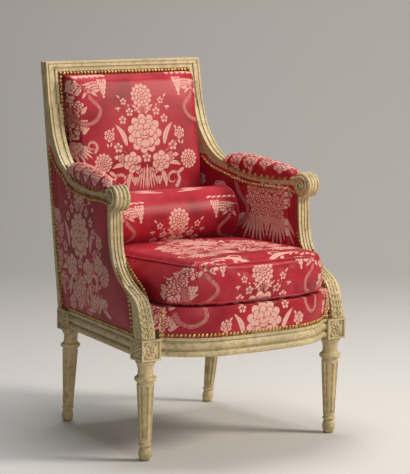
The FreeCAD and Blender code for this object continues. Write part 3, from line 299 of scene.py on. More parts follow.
def sewTubeFaces(bm, rows, closed=True):
    # quads between rows of corners that each run round a bar
    count = len(rows[0])
    for one, two in zip(rows, rows[1:] + (rows[:1] if closed else [])):
        for n in range(count):
            bm.faces.new((one[n], one[(n + 1) % count], two[(n + 1) % count], two[n]))


def outerShell(node, *more):
    # a copy of a CAD node without the faces of the hollow inside it, or several nodes as they are
    bm = bmesh.new()
    for other in (node, *more):
        bm.from_mesh(nodes[other].data)
    if more:
        return bm
    bmesh.ops.remove_doubles(bm, verts=bm.verts, dist=0.00001)
    todo = set(bm.verts)
    shells = []
    while todo:
        start = todo.pop()
        shell, edge = {start}, [start]
        while edge:
            vert = edge.pop()
            found = {link.other_vert(vert) for link in vert.link_edges} - shell
            shell |= found
            edge.extend(found)
        todo -= shell
        spread = sum(max(v.co[k] for v in shell) - min(v.co[k] for v in shell) for k in range(3))
        shells.append((spread, shell))
    shells.sort(key=lambda item: item[0])
    for _, shell in shells[:-1]:
        bmesh.ops.delete(bm, geom=list(shell), context="VERTS")
    return bm


def evaluated(thing):
    return bpy.data.meshes.new_from_object(thing.evaluated_get(bpy.context.evaluated_depsgraph_get()))


def applyModifiers(thing):
    mesh = evaluated(thing)
    thing.modifiers.clear()
    thing.data = mesh


def coordinates(thing):
    co = np.empty(len(thing.data.vertices) * 3)
    thing.data.vertices.foreach_get("co", co)
    return co.reshape(-1, 3)


def setCoordinates(thing, co):
    thing.data.vertices.foreach_set("co", co.astype(np.float32).ravel())
    thing.data.update()


def normalsOf(thing):
    found = np.empty(len(thing.data.vertices) * 3, np.float32)
    thing.data.vertex_normals.foreach_get("vector", found)
    return found.reshape(-1, 3).astype(float)


def stuffed(thing, spec):
    # voxel remesh, then a cloth simulation with inner pressure, with each point's move capped
    bpy.context.view_layer.update()
    voxels = thing.modifiers.new("voxels", "REMESH")
    voxels.mode = "VOXEL"
    voxels.voxel_size = spec["voxelMm"] / 1000
    applyModifiers(thing)
    rest = coordinates(thing)
    if spec.get("tuftMm"):
        rest = rest - normalsOf(thing) * spec["tuftMm"] / 1000
        setCoordinates(thing, rest)
    cloth = thing.modifiers.new("stuffing", "CLOTH")
    settings = cloth.settings
    settings.quality = 4
    settings.mass = 0.3
    settings.use_pressure = True
    settings.uniform_pressure_force = spec["pressure"]
    settings.effector_weights.gravity = 0
    settings.tension_stiffness = settings.compression_stiffness = 15
    settings.bending_stiffness = 0.5
    cloth.point_cache.frame_start = 1
    cloth.point_cache.frame_end = 20
    for number in range(1, 21):
        scene.frame_set(number)
    applyModifiers(thing)
    scene.frame_set(1)
    move = coordinates(thing) - rest
    length = np.linalg.norm(move, axis=1, keepdims=True)
    cap = spec["capMm"] / 1000
    setCoordinates(thing, rest + move * np.minimum(1, cap / np.maximum(length, 1e-9)))
    if spec.get("shape"):
        setCoordinates(thing, spec["shape"](coordinates(thing), normalsOf(thing)))
    if spec.get("smooth"):
        bm = bmesh.new()
        bm.from_mesh(thing.data)
        for _ in range(spec["smooth"]):
            bmesh.ops.smooth_vert(bm, verts=bm.verts, factor=0.5, use_axis_x=True, use_axis_y=True, use_axis_z=True)
        bm.to_mesh(thing.data)
        bm.free()
    finer = thing.modifiers.new("finer", "SUBSURF")
    finer.levels = finer.render_levels = 1
    applyModifiers(thing)
    thing.data.shade_smooth()


# ---- the woven figure, drawn in mm on each piece of cloth
def clothSheet(thing, u, v):
    return {"thing": thing, "u": u, "v": v, "field": np.full(len(u), -9.0), "tone": np.full(len(u), 0.8)}


def lay(cloth, chosen, inside, tone, gap=1.8):
    # a new shape cuts an outline round itself out of what lies under it
    field = cloth["field"][chosen]
    field = np.maximum(np.minimum(field, -(inside + gap)), inside)
    cloth["field"][chosen] = field
    tones = cloth["tone"][chosen]
    cloth["tone"][chosen] = np.where(inside > -gap / 2, tone, tones)


def closeTo(cloth, u, v, reach):
    du, dv = cloth["u"] - u, cloth["v"] - v
    chosen = np.nonzero((np.abs(du) < reach) & (np.abs(dv) < reach))[0]
    return chosen, du[chosen], dv[chosen]


def ovalInside(x, y, a, b):
    flat = np.hypot(x / a, y / b)
    steep = np.hypot(x / a ** 2, y / b ** 2)
    return np.where(steep > 1e-9, flat * (1 - flat) / np.maximum(steep, 1e-9), min(a, b))


def oval(cloth, u, v, a, b, turn=0.0, tone=1.0, gap=1.8):
    chosen, du, dv = closeTo(cloth, u, v, max(a, b) + 6)
    if len(chosen):
        c, s = cos(turn), sin(turn)
        lay(cloth, chosen, ovalInside(du * c + dv * s, dv * c - du * s, a, b), tone, gap)


def petals(cloth, u, v, size, radius, long, wide, count, turn=0.0):
    # a ring of petals; radius, length and width are shares of the flower's size
    radius, long, wide = size * radius, size * long, size * wide
    chosen, du, dv = closeTo(cloth, u, v, radius + long + 6)
    if not len(chosen):
        return
    step = 2 * pi / count
    angle = (np.arctan2(dv, du) - turn + step / 2) % step - step / 2
    away = np.hypot(du, dv)
    x, y = away * np.cos(angle) - radius, away * np.sin(angle)
    inside = ovalInside(x, y, long, wide)
    inside = np.minimum(inside, away * sin(step / 2) - np.abs(y) - 0.8)
    inside = np.where(away < radius - long, -3.0, inside)
    vein = np.abs(y) + np.maximum(0, x - long * 0.1) - 0.35
    lay(cloth, chosen, np.minimum(inside, np.where(long > 9, vein, 9.0)), 1.0)


def zinnia(cloth, u, v, size):
    oval(cloth, u, v, size * 0.9, size * 0.9, tone=-1)
    petals(cloth, u, v, size, 0.74, 0.28, 0.19, 13)
    petals(cloth, u, v, size, 0.46, 0.22, 0.15, 10, 0.3)
    petals(cloth, u, v, size, 0.22, 0.15, 0.1, 7, 0.1)
    oval(cloth, u, v, size * 0.09, size * 0.09)


def peony(cloth, u, v, size):
    petals(cloth, u, v, size, 0.76, 0.26, 0.22, 11)
    petals(cloth, u, v, size, 0.53, 0.24, 0.2, 9, 0.35)
    petals(cloth, u, v, size, 0.33, 0.22, 0.19, 6, 0.1)
    for x, y, a, b, turn in (
            (0, -0.12, 0.24, 0.13, 0), (-0.12, 0.06, 0.13, 0.17, 0.5), (0.12, 0.06, 0.13, 0.17, -0.5),
            (0, 0.02, 0.1, 0.13, 0), (-0.3, -0.42, 0.24, 0.2, -0.6), (0.3, -0.42, 0.24, 0.2, 0.6),
            (0, -0.5, 0.27, 0.19, 0)):
        oval(cloth, u + size * x, v + size * y, size * a, size * b, turn)


def rose(cloth, u, v, size):
    petals(cloth, u, v, size, 0.66, 0.36, 0.38, 6, 0.4)
    petals(cloth, u, v, size, 0.36, 0.24, 0.22, 5, 0.9)
    oval(cloth, u, v, size * 0.15, size * 0.15)


def blossom(cloth, u, v, size):
    petals(cloth, u, v, size, 0.6, 0.42, 0.36, 5, 0.3)
    oval(cloth, u, v, size * 0.2, size * 0.2, tone=0.5)


def leaf(cloth, u, v, u1, v1, wide, bend=0.0, vein=True):
    length = hypot(u1 - u, v1 - v)
    chosen, du, dv = closeTo(cloth, (u + u1) / 2, (v + v1) / 2, length / 2 + wide + abs(bend) + 5)
    if not len(chosen):
        return
    ax, ay = (u1 - u) / length, (v1 - v) / length
    du, dv = du + (u1 - u) / 2, dv + (v1 - v) / 2
    x = (du * ax + dv * ay) / length
    y = dv * ax - du * ay - bend * np.sin(clamp(x) * pi)
    half = wide * np.sin(clamp(x) ** 0.8 * pi) ** 0.75
    inside = half - np.abs(y)
    inside = np.where((x < 0) | (x > 1), -np.maximum(np.abs(x - 0.5) * length - length / 2, 0.3), inside)
    if vein and wide > 3.4:
        inside = np.minimum(inside, np.abs(y) - 0.4 + np.maximum(0, x - 0.8) * 9)
    lay(cloth, chosen, inside, 1.0)


def smoothLine(points, steps=8):
    points = np.array([points[0]] + list(points) + [points[-1]], float)
    line = []
    for a, b, c, d in zip(points, points[1:], points[2:], points[3:]):
        for t in np.linspace(0, 1, steps, endpoint=False):
            line.append(0.5 * (2 * b + (c - a) * t + (2 * a - 5 * b + 4 * c - d) * t * t
                               + (3 * b - a - 3 * c + d) * t ** 3))
    line.append(points[-1])
    return np.array(line)


def band(cloth, points, width, tone=0.6, striped=False, taper=False):
    line = smoothLine(points)
    middle, reach = line.mean(0), np.abs(line - line.mean(0)).max() + width + 5
    chosen, du, dv = closeTo(cloth, middle[0], middle[1], reach)
    if not len(chosen):
        return
    best, where = np.full(len(chosen), 99.0), np.zeros(len(chosen))
    for number, (a, b) in enumerate(zip(line - middle, line[1:] - middle)):
        way = b - a
        span = max(way @ way, 1e-9)
        t = clamp(((du - a[0]) * way[0] + (dv - a[1]) * way[1]) / span)
        away = np.hypot(du - a[0] - way[0] * t, dv - a[1] - way[1] * t)
        where = np.where(away < best, (number + t) / (len(line) - 1), where)
        best = np.minimum(best, away)
    half = width / 2 * (np.clip(1.15 - where, 0.15, 1) if taper else 1.0)
    inside = half - best
    if striped:
        inside = np.minimum(inside, np.abs(best - width * 0.22) - 0.45)
    lay(cloth, chosen, inside, tone)


def grapes(cloth, u, v, rows, size):
    for number, count in enumerate(rows):
        for index in range(count):
            shift = (index - (count - 1) / 2) * size * 1.9
            oval(cloth, u + shift, v - number * size * 1.65, size, size, gap=0.8)


def rays(cloth, u, v, first, last, count, length, wide):
    for index in range(count):
        angle = radians(first + (last - first) * index / max(1, count - 1))
        reach = length * (1.0 if index % 2 else 0.84)
        leaf(cloth, u, v, u + reach * cos(angle), v + reach * sin(angle), wide, vein=False)


def curl(cloth, u, v, size, side, tone=1.0):
    # a scroll that tapers as it turns in
    points = []
    for number in range(9):
        angle = radians(-60 + number * 50)
        away = size * (1.0 - 0.085 * number)
        points.append((u + side * away * cos(angle), v + away * sin(angle)))
    band(cloth, points, size * 0.46, tone, taper=True)


def onHalf(cloth, u, v, side, k, shapes):
    # shapes given for the right half of a repeat: what, where from its middle, then its sizes, all in mm
    for draw, a, b, *rest in shapes:
        place = (u + side * a * k, v + b * k)
        if draw is leaf:
            c, d, wide, bend = (*rest, 0)[:4]
            leaf(cloth, *place, u + side * c * k, v + d * k, wide * k, side * bend * k)
        elif draw is band:
            spots = [(u + side * c * k, v + d * k) for c, d in rest[0]]
            band(cloth, [place] + spots, rest[1] * k, *rest[2:])
        elif draw is curl:
            curl(cloth, *place, rest[0] * k, side, rest[1])
        elif draw is grapes:
            grapes(cloth, *place, rest[0], rest[1] * k)
        elif draw is oval:
            oval(cloth, *place, rest[0] * k, rest[0] * k)
        else:
            draw(cloth, *place, rest[0] * k)


lowerHalf = [
    (leaf, 3, -84, 6, -158, 2.6), (leaf, 7.5, -86, 15, -160, 2.6), (leaf, 12.5, -90, 25, -156, 2.6),
    (leaf, 17, -92, 34, -148, 2.6), (curl, 84, -128, 24, 0.9), (rose, 56, -122, 13),
    (leaf, 26, -112, 44, -92, 6, 3), (leaf, 46, -100, 62, -152, 7, 5), (grapes, 40, -122, (3, 3, 2, 1), 3.4),
    (leaf, 70, -84, 112, -92, 6, 4), (zinnia, 138, -76, 27), (leaf, 104, -62, 74, -62, 6),
    (leaf, 122, -100, 96, -116, 5), (rose, 78, -66, 13), (rose, 46, -78, 29),
]
middleHalf = [
    (leaf, 60, -34, 92, 28, 7.5, 7), (blossom, 88, -36, 14), (band, 62, -52, [(92, -30), (111, -16)], 1.8, 0.9),
    (leaf, 112, -34, 108, -20, 3.2), (leaf, 118, -34, 124, -22, 3.0), (rose, 113, -2, 17),
    (leaf, 104, 10, 96, 20, 3.0),
]
upperHalf = [
    (band, 22, 40, [(44, 52), (60, 88)], 1.6, 0.9), (leaf, 6, 52, 35, 80, 5.0, 3), (leaf, 8, 74, 28, 62, 3.4),
    (blossom, 43, 60, 12), (blossom, 67, 39, 12), (blossom, 60, 89, 10), (leaf, 76, 62, 84, 78, 3.6),
    (leaf, 70, 72, 90, 70, 2.6), (leaf, 70, 98, 80, 108, 2.6), (oval, 45, 78, 3),
]


def bouquet(cloth, u, v, k=1.0, lower=True):
    # u, v is the middle of the large peony, k the scale
    for side in (-1, 1):
        onHalf(cloth, u, v, side, k, (lowerHalf if lower else []) + middleHalf + upperHalf)
    onHalf(cloth, u, v, 1, k, [(zinnia, 0, 103, 33), (rose, 0, 66, 9)])
    if lower:
        onHalf(cloth, u, v, 1, k, [(blossom, 0, -66, 14), (leaf, 0, -84, 0, -158, 2.8)])
    peony(cloth, u, v, 54 * k)


def ribbon(cloth, u, v, side, k=1.0):
    # u, v is the knot under the garland; the ribbon falls in an S
    spots = [(26, -14), (14, -34), (-6, -54), (-9, -70), (4, -90), (28, -101), (52, -98), (66, -80), (68, -62)]
    onHalf(cloth, u, v, side, k, [(band, 30, 2, spots, 10.5, 0.5, True)])


garlandHalf = [(leaf, 128, lift - 4, reach + 22, lift - 12, 4.4)
               for lift, reach in ((148, 172), (141, 158), (134, 150), (127, 160))]
garlandHalf += [(leaf, 160, 120, 140, 106, 4), (leaf, 175, 118, 186, 100, 4),
                (grapes, 121, 148, (4, 4, 3, 3, 2, 2, 1, 1), 3.8)]


def garland(cloth, u, v):
    # grape bunches and leaves that hang each side of a bouquet with its peony at u, v
    for side in (-1, 1):
        ribbon(cloth, u + side * 146, v + 132, side)
        onHalf(cloth, u, v, side, 1, garlandHalf)
        for start in range(100, 186, 17):
            leaf(cloth, u + side * start, v + 159, u + side * (start + 20), v + 165 - (start - 100) / 17, 3.0, 2)


columnHalf = [
    (leaf, 14, 112, 34, 140, 6), (rose, 18, 84, 15), (rose, 14, 30, 16), (leaf, 24, 62, 42, 84, 5),
    (leaf, 24, 8, 44, 26, 6, 3), (grapes, 30, 44, (3, 3, 2, 2, 1), 3.6),
]


def column(cloth, u, v, k=1.0):
    # the narrower cascade between two bouquets, hung from the garland
    grapes(cloth, u, v + 150 * k, (5, 6, 5, 6, 5, 4), 4.4 * k)
    for side in (-1, 1):
        onHalf(cloth, u, v, side, k, columnHalf)
        rays(cloth, u + side * 4 * k, v - 20 * k, -90 + side * 8, -90 + side * 74, 6, 62 * k, 3.6 * k)
        curl(cloth, u + side * 46 * k, v - 26 * k, 17 * k, side, 0.85)
    onHalf(cloth, u, v, 1, k, [(blossom, 0, 104, 13), (zinnia, 0, 58, 20), (rose, 0, 6, 18),
                               (grapes, 0, -18, (5, 6, 5, 4, 3, 2, 1), 4.0)])


def weave(cloth):
    thing = cloth["thing"]
    for name, values in (("figure", cloth["field"]), ("tone", cloth["tone"])):
        made = thing.data.attributes.new(name, "FLOAT", "POINT")
        made.data.foreach_set("value", np.clip(values, -6, 6).astype(np.float32))
    layer = thing.data.uv_layers.new(name="panel")
    corners = np.empty(len(thing.data.loops), np.int32)
    thing.data.loops.foreach_get("vertex_index", corners)
    uv = np.stack([cloth["u"][corners], cloth["v"][corners]], 1) / 1000
    layer.data.foreach_set("uv", uv.astype(np.float32).ravel())


def inMm(co):
    return co[:, 0] * 1000, (co[:, 1] - legY) * 1000, co[:, 2] * 1000


def chairMm(thing):
    co = coordinates(thing) * 1000
    co[:, 1] -= legY * 1000
    return co


# ---- padded back
back = {"voxelMm": 4.5, "pressure": 3.0, "capMm": 9.0, "smooth": 10, "crownMm": 11.0, "crownReachMm": 120.0,
        "forwardMm": 9.0, "forwardFromZ": 640}


def backShape(co, normals):
    # the flat slopes of the CAD crown become one soft swell, fuller above the bolster
    x, y, z = inMm(co)
    half = stileOuterX(z) - 45
    toSide, toTop, toLow = half - np.abs(x), 935 - z, z - 412
    cad = back["crownMm"] * clamp((np.minimum(np.minimum(toSide, toTop), toLow) - 14) / 56)

    def rise(away):
        return 1 - (1 - clamp(away / back["crownReachMm"])) ** 2.5

    soft = back["crownMm"] * rise(toSide) * rise(toTop) * rise(toLow)
    proud = clamp((frontFaceY(z) + 5 - y - 14) / 18)
    above = clamp((z - back["forwardFromZ"]) / 60)
    co[:, 1] -= ((soft - cad) * proud + back["forwardMm"] * above * proud) / 1000
    return co


back["shape"] = backShape
padBack = newObject("back_pad", outerShell("back_stuffing", "inside_back_cover"), lampas)
stuffed(padBack, back)
co = chairMm(padBack)
behind = co[:, 1] - (frontFaceY(co[:, 2]) + 5 - 38)
u = co[:, 0] + np.sign(co[:, 0]) * np.maximum(0, behind - 12)
v = (co[:, 2] - 700) / cos(atan(wood["rake"])) + np.where(co[:, 2] > 900, np.maximum(0, behind - 12), 0)
cloth = clothSheet(padBack, u, v)
column(cloth, -206, 72)
garland(cloth, 11, 76)
bouquet(cloth, 9, 76)
weave(cloth)
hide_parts("back_stuffing", "inside_back_cover")
print("back padded")


# ---- loose bolster
bolster = {"voxelMm": 4.5, "pressure": 4.0, "capMm": 5.0, "tuftMm": 2.0, "smooth": 3, "radiusMm": 74}
roll = newObject("bolster_cushion", outerShell("bolster_cover"), lampas, "bolster")
stuffed(roll, bolster)
bolsterLow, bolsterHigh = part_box("bolster_cover")
bolsterMiddle = (bolsterLow + bolsterHigh) / 2
co = coordinates(roll)
angle = np.arctan2(co[:, 2] - bolsterMiddle.z, bolsterMiddle.y - co[:, 1])
cloth = clothSheet(roll, co[:, 0] * 1000, angle * bolster["radiusMm"])
garland(cloth, 8, -106)
for side in (-1, 1):
    rays(cloth, 8 + side * 20, 88, 90 - side * 58, 90 - side * 84, 5, 120, 2.6)
bouquet(cloth, 8, -106)
garland(cloth, 8, -506)
weave(cloth)
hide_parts("bolster_cover", "bolster_filling")
print("bolster stuffed")


# ---- loose seat cushion
seat = {"voxelMm": 5.0, "pressure": 4.0, "capMm": 10.0, "tuftMm": 2.0, "smooth": 2, "seamTop": 496.0,
        "seamLow": 402.0, "seamRake": 0.028, "edgeFillMm": 5.0, "pinchMm": 2.6, "crownMm": 9.0, "lowestZ": 392.6}
cushion = newObject("seat_cushion_pad", outerShell("seat_cushion_cover"), lampas, "seat_cushion")


def seatSeamTop(y):
    # the upper seam sinks a little towards the back
    return seat["seamTop"] - (y + 103) * seat["seamRake"]


def seatShape(co, normals):
    # the crown of the top, and the pinch along both piped seams
    x, y, z = inMm(co)
    side = 1 - np.abs(normals[:, 2])
    fill = clamp((z - 455) / 38) * clamp((264 - np.abs(x)) / 18) * clamp(side * 1.5)
    flat = normals * np.array([1.0, 1.0, 0.0])
    flat /= np.maximum(np.linalg.norm(flat, axis=1, keepdims=True), 0.2)
    co = co + flat * (fill * seat["edgeFillMm"] / 1000)[:, None]
    co[:, 2] += fill * 0.002
    for seam in (seatSeamTop(y), seat["seamLow"]):
        pinch = np.exp(-((z - seam) / 5.5) ** 2) * clamp(side * 1.6) * seat["pinchMm"]
        co = co - normals * (pinch / 1000)[:, None]
    crown = clamp(1 - (x / 265) ** 2) * clamp(1 - ((y - 140) / 270) ** 2) ** 0.8
    co[:, 2] += np.where(normals[:, 2] > 0.2, crown * seat["crownMm"] / 1000, 0)
    co[:, 2] = np.maximum(co[:, 2], seat["lowestZ"] / 1000)
    return co


seat["shape"] = seatShape
stuffed(cushion, seat)
co = chairMm(cushion)
normals = normalsOf(cushion)
border = np.abs(normals[:, 2]) < 0.62
# on the border u runs round the cushion and v up; on the top u runs across and v to the back
u = co[:, 0] + np.sign(co[:, 0]) * border * np.maximum(0, co[:, 1] + 20)
v = np.where(border, co[:, 2], np.where(normals[:, 2] > 0, 500 + (co[:, 1] + 98), 392 - (co[:, 1] + 98)))
cloth = clothSheet(cushion, u, v)
for place in (-226, 232):
    column(cloth, place, 400)
bouquet(cloth, 0, 368, lower=False)
garland(cloth, 0, 368)
column(cloth, -120, 640)
column(cloth, 130, 640)
bouquet(cloth, 4, 800)
for side in (-1, 1):
    rays(cloth, side * 6, 590, 90 + side * 30, 90 + side * 80, 6, 120, 3.4)
    curl(cloth, side * 60, 540, 22, side)
    leaf(cloth, side * 30, 520, side * 140, 540, 7, side * 6)
weave(cloth)
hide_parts("seat_cushion_cover", "seat_cushion_filling")
print("seat cushion stuffed")


# ---- covers cut fine from the nailed-down CAD covers
def fineCut(bm, stepMm, axes):
    # cuts every face into cells so small that the figure can be drawn on their corners
    step = stepMm / 1000
    for axis in axes:
        index = "xyz".index(axis)
        values = [vert.co[index] for vert in bm.verts]
        lowest, highest = min(values), max(values)
        normal = Vector([float(k == index) for k in range(3)])
        for number in range(1, int((highest - lowest) / step) + 1):
            place = normal * (lowest + number * step)
            geom = bm.verts[:] + bm.edges[:] + bm.faces[:]
            bmesh.ops.bisect_plane(bm, geom=geom, dist=1e-7, plane_co=place, plane_no=normal)


def edgeDistance(points, outline):
    # distance in mm from each point to a closed outline
    best = np.full(len(points), 1e9)
    for a, b in zip(outline, np.roll(outline, -1, axis=0)):
        way = b - a
        t = clamp((points - a) @ way / max(way @ way, 1e-9))
        best = np.minimum(best, np.linalg.norm(points - a - t[:, None] * way, axis=1))
    return best


def coverPanel(node, name, axes, drawing, swell, stepMm, material=lampas):
    bm = outerShell(node)
    fineCut(bm, stepMm, axes)
    thing = newObject(name, bm, material)
    if swell:
        setCoordinates(thing, swell(coordinates(thing), normalsOf(thing)))
    if drawing:
        drawing(thing, chairMm(thing))
    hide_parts(node)
    return thing


panels = {"stepMm": 2.6, "frontStepMm": 3.0, "backStepMm": 12.0, "sideSwellMm": 4.0, "frontSwellMm": 3.0}


def outsideSwell(co, normals):
    # a soft swell between the nailed edges
    outline = np.array([(70, 316), (470, 316), (505, 735), (462, 678), (352, 645), (250, 640), (160, 640),
                        (146, 580), (132, 530), (100, 490), (50, 450), (18, 380), (10, 316)], float)
    away = edgeDistance(np.stack(inMm(co)[1:], 1), outline)
    lift = panels["sideSwellMm"] * clamp(away / 60) ** 0.6
    outward = np.sign(co[:, 0])
    co[:, 0] += outward * np.where(normals[:, 0] * outward > 0.3, lift, 0) / 1000
    return co


def outsideFigure(thing, co):
    cloth = clothSheet(thing, co[:, 1], co[:, 2])
    column(cloth, 500, 430)
    bouquet(cloth, 340, 530, 1.12)
    curl(cloth, 254, 418, 26, -1)
    for place, lift, size in ((311, 371, 26), (345, 352, 20), (290, 340, 18), (219, 467, 26), (330, 400, 24),
                              (370, 380, 22), (395, 345, 20)):
        rose(cloth, place, lift, size)
    rays(cloth, 300, 340, 140, 178, 5, 110, 5.0)
    rays(cloth, 232, 336, 80, 130, 5, 66, 4.6)
    grapes(cloth, 190, 380, (4, 5, 4, 3, 2), 4.4)
    leaf(cloth, 190, 360, 150, 340, 6, 5)
    blossom(cloth, 250, 545, 14)
    weave(cloth)


def insideFigure(thing, co):
    cloth = clothSheet(thing, co[:, 1], co[:, 2])
    rays(cloth, 200, 590, -74, -128, 7, 120, 5.5)
    rays(cloth, 272, 590, -52, -106, 7, 120, 5.5)
    ribbon(cloth, 322, 650, 1, 1.25)
    leaf(cloth, 320, 560, 350, 530, 7, 4)
    grapes(cloth, 236, 570, (5, 6, 5, 4, 3, 2, 2, 1, 1), 4.6)
    for place, lift in ((170, 628), (200, 632), (232, 634), (264, 632), (296, 626), (176, 602), (206, 604),
                        (238, 606), (270, 604), (300, 600), (220, 580), (252, 580), (190, 578), (282, 578)):
        rose(cloth, place, lift, 18)
    rose(cloth, 496, 637, 17)
    column(cloth, 420, 500, 0.9)
    weave(cloth)


for hand in ("left", "right"):
    for where, figure, swell in (("outside", outsideFigure, outsideSwell), ("inside", insideFigure, None)):
        cover, name = hand + "_" + where + "_arm_cover", hand + "_" + where + "_cloth"
        coverPanel(cover, name, "yz", figure, swell, panels["stepMm"])
print("side covers made")


def platformFigure(thing, co):
    cloth = clothSheet(thing, co[:, 0], co[:, 2])
    for place in (-266, 268):
        column(cloth, place, 322)
    bouquet(cloth, 3, 344, lower=False)
    band(cloth, [(-232, 376), (-224, 356), (-202, 344), (-178, 350), (-163, 368), (-166, 392)], 11, 0.5, True)
    band(cloth, [(136, 400), (144, 374), (162, 354), (180, 362), (186, 396)], 11, 0.5, True)
    weave(cloth)


def platformSwell(co, normals):
    _, y, z = inMm(co)
    swell = clamp((z - 326) / 30) * clamp((394 - z) / 22) * clamp((20 - y) / 30)
    return co + normals * (swell * panels["frontSwellMm"] / 1000 * (np.abs(normals[:, 2]) < 0.5))[:, None]


platform = coverPanel("seat_platform_cover", "seat_deck_cloth", "xz", platformFigure, platformSwell,
                      panels["frontStepMm"])
coverPanel("outside_back_cover", "outside_back_cloth", "xz", None, None, panels["backStepMm"], backCloth)
print("deck and outside back covered")


# ---- arm pads
pad = {"voxelMm": 3.5, "pressure": 2.0, "capMm": 3.0, "tuftMm": 0.6, "middleZ": 650, "radiusMm": 60, "roses": 10}
for hand in ("left", "right"):
    armPad = newObject(hand + "_arm_cushion", outerShell(hand + "_arm_pad"), lampas)
    stuffed(armPad, pad)
    co = chairMm(armPad)
    across = np.abs(co[:, 0]) - (armLineX(co[:, 1]) - 18)
    cloth = clothSheet(armPad, co[:, 1], np.arctan2(across, co[:, 2] - pad["middleZ"]) * pad["radiusMm"])
    for number in range(pad["roses"]):
        place, side = 174 + number * 28, 16 * (-1) ** number
        rose(cloth, place, side, 21 + 3 * (number % 3))
        leaf(cloth, place + 12, -side * 0.4, place + 40, -side * 1.2, 8, 4)
        rays(cloth, place + 6, -side * 1.5, 30 * (-1) ** number, 100 * (-1) ** number, 4, 34, 3.6)
    weave(cloth)
    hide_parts(hand + "_arm_pad")
print("arm pads stuffed")


# ---- piping, laid where a ray from outside meets the cushion
def pipe(name, points, radiusMm, body):
    line = bpy.data.curves.new(name, "CURVE")
    line.dimensions = "3D"
    line.bevel_depth = radiusMm / 1000
    line.bevel_resolution = 2
    line.resolution_u = 3
    spline = line.splines.new("NURBS")
    spline.points.add(len(points) - 1)
    for point, place in zip(spline.points, points):
        point.co = (*place, 1)
    spline.use_cyclic_u = True
    spline.order_u = 3
    drawn = bpy.data.objects.new(name + "_line", line)
    scene.collection.objects.link(drawn)
    bpy.context.view_layer.update()
    mesh = evaluated(drawn)
    bpy.data.objects.remove(drawn)
    return placed(name, mesh, lampas, body)


def treeOf(thing):
    mesh = thing.data
    return BVHTree.FromPolygons([v.co for v in mesh.vertices], [p.vertices for p in mesh.polygons])


piping = {"radiusMm": 2.3, "proudMm": 1.2, "count": 180, "endRadiusMm": 2.2, "endProudMm": 0.6, "endCount": 64,
          "fromEndMm": 9.0}
shape = treeOf(cushion)
low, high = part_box("seat_cushion_cover")
middle = (low + high) / 2
for name, seamZ in (("cushion_piping_top", seatSeamTop), ("cushion_piping_bottom", lambda y: seat["seamLow"])):
    points = []
    for number in range(piping["count"]):
        angle = 2 * pi * number / piping["count"]
        way = Vector((cos(angle), sin(angle), 0))
        start = Vector((middle.x, middle.y, seamZ(-103) / 1000)) + way * 0.6
        for _ in range(2):
            place, normal, _, _ = shape.ray_cast(start, -way)
            if place is None:
                break
            start.z = seamZ((place.y - legY) * 1000) / 1000
        if place is not None:
            points.append(place + normal * piping["proudMm"] / 1000)
    seam = pipe(name, points, piping["radiusMm"], "seat_cushion")
shape = treeOf(roll)
for name, side in (("bolster_piping_right", 1), ("bolster_piping_left", -1)):
    middle = Vector(((bolsterHigh.x - piping["fromEndMm"] / 1000) * side, bolsterMiddle.y, bolsterMiddle.z))
    points = []
    for number in range(piping["endCount"]):
        angle = 2 * pi * number / piping["endCount"]
        way = Vector((0, cos(angle), sin(angle)))
        place, normal, _, _ = shape.ray_cast(middle + way * 0.2, -way)
        if place is not None:
            points.append(place + normal * piping["endProudMm"] / 1000)
    seam = pipe(name, points, piping["endRadiusMm"], "bolster")
print("piping sewn")


# ---- brass nails
nails = {"headMm": 5.1, "heightMm": 3.2, "pitchMm": 10.8}


def evenly(points, pitch):
    line = smoothLine([tuple(p) for p in points], 12)
    lengths = np.concatenate([[0], np.cumsum(np.linalg.norm(np.diff(line, axis=0), axis=1))])
    count = max(1, round(lengths[-1] / pitch))
    places = np.linspace(0, lengths[-1], count + 1)
    return np.stack([np.interp(places, lengths, line[:, k]) for k in range(line.shape[1])], 1)


def traced(thing, points, way, near=0.15, reach=0.4):
    # where a ray along way, from near metres before each point, meets a piece: place and normal
    tree = treeOf(thing)
    way = Vector(way).normalized()
    found = []
    for point in points:
        place, normal, _, _ = tree.ray_cast(at(*point) - way * near, way, reach)
        if place is not None:
            found.append((*((place - Vector((0, legY, 0))) * 1000), *normal))
    return found


def nailRow(name, points, outward=None, mirror=True):
    # each point is a place in mm, with the way that the heads face after it
    places = evenly([tuple(p) if len(p) == 6 else (*p, *outward) for p in points], nails["pitchMm"])
    bm = bmesh.new()
    size = Matrix.Diagonal((nails["headMm"] / 1000, nails["headMm"] / 1000, nails["heightMm"] / 1000, 1))
    for place in places:
        turn = Vector(place[3:]).to_track_quat("Z", "X").to_matrix().to_4x4()
        bmesh.ops.create_uvsphere(bm, u_segments=9, v_segments=6, radius=1.0,
                                  matrix=Matrix.Translation(at(*place[:3])) @ turn @ size)
    if mirror:
        mirrorX(bm)
    newObject(name, bm, brass)


def outsideRow(name, points):
    outside = bpy.data.objects["right_outside_cloth"]
    nailRow(name, traced(outside, [(200, y, z) for y, z in points], (-1, 0, 0), 0.3, 0.5))


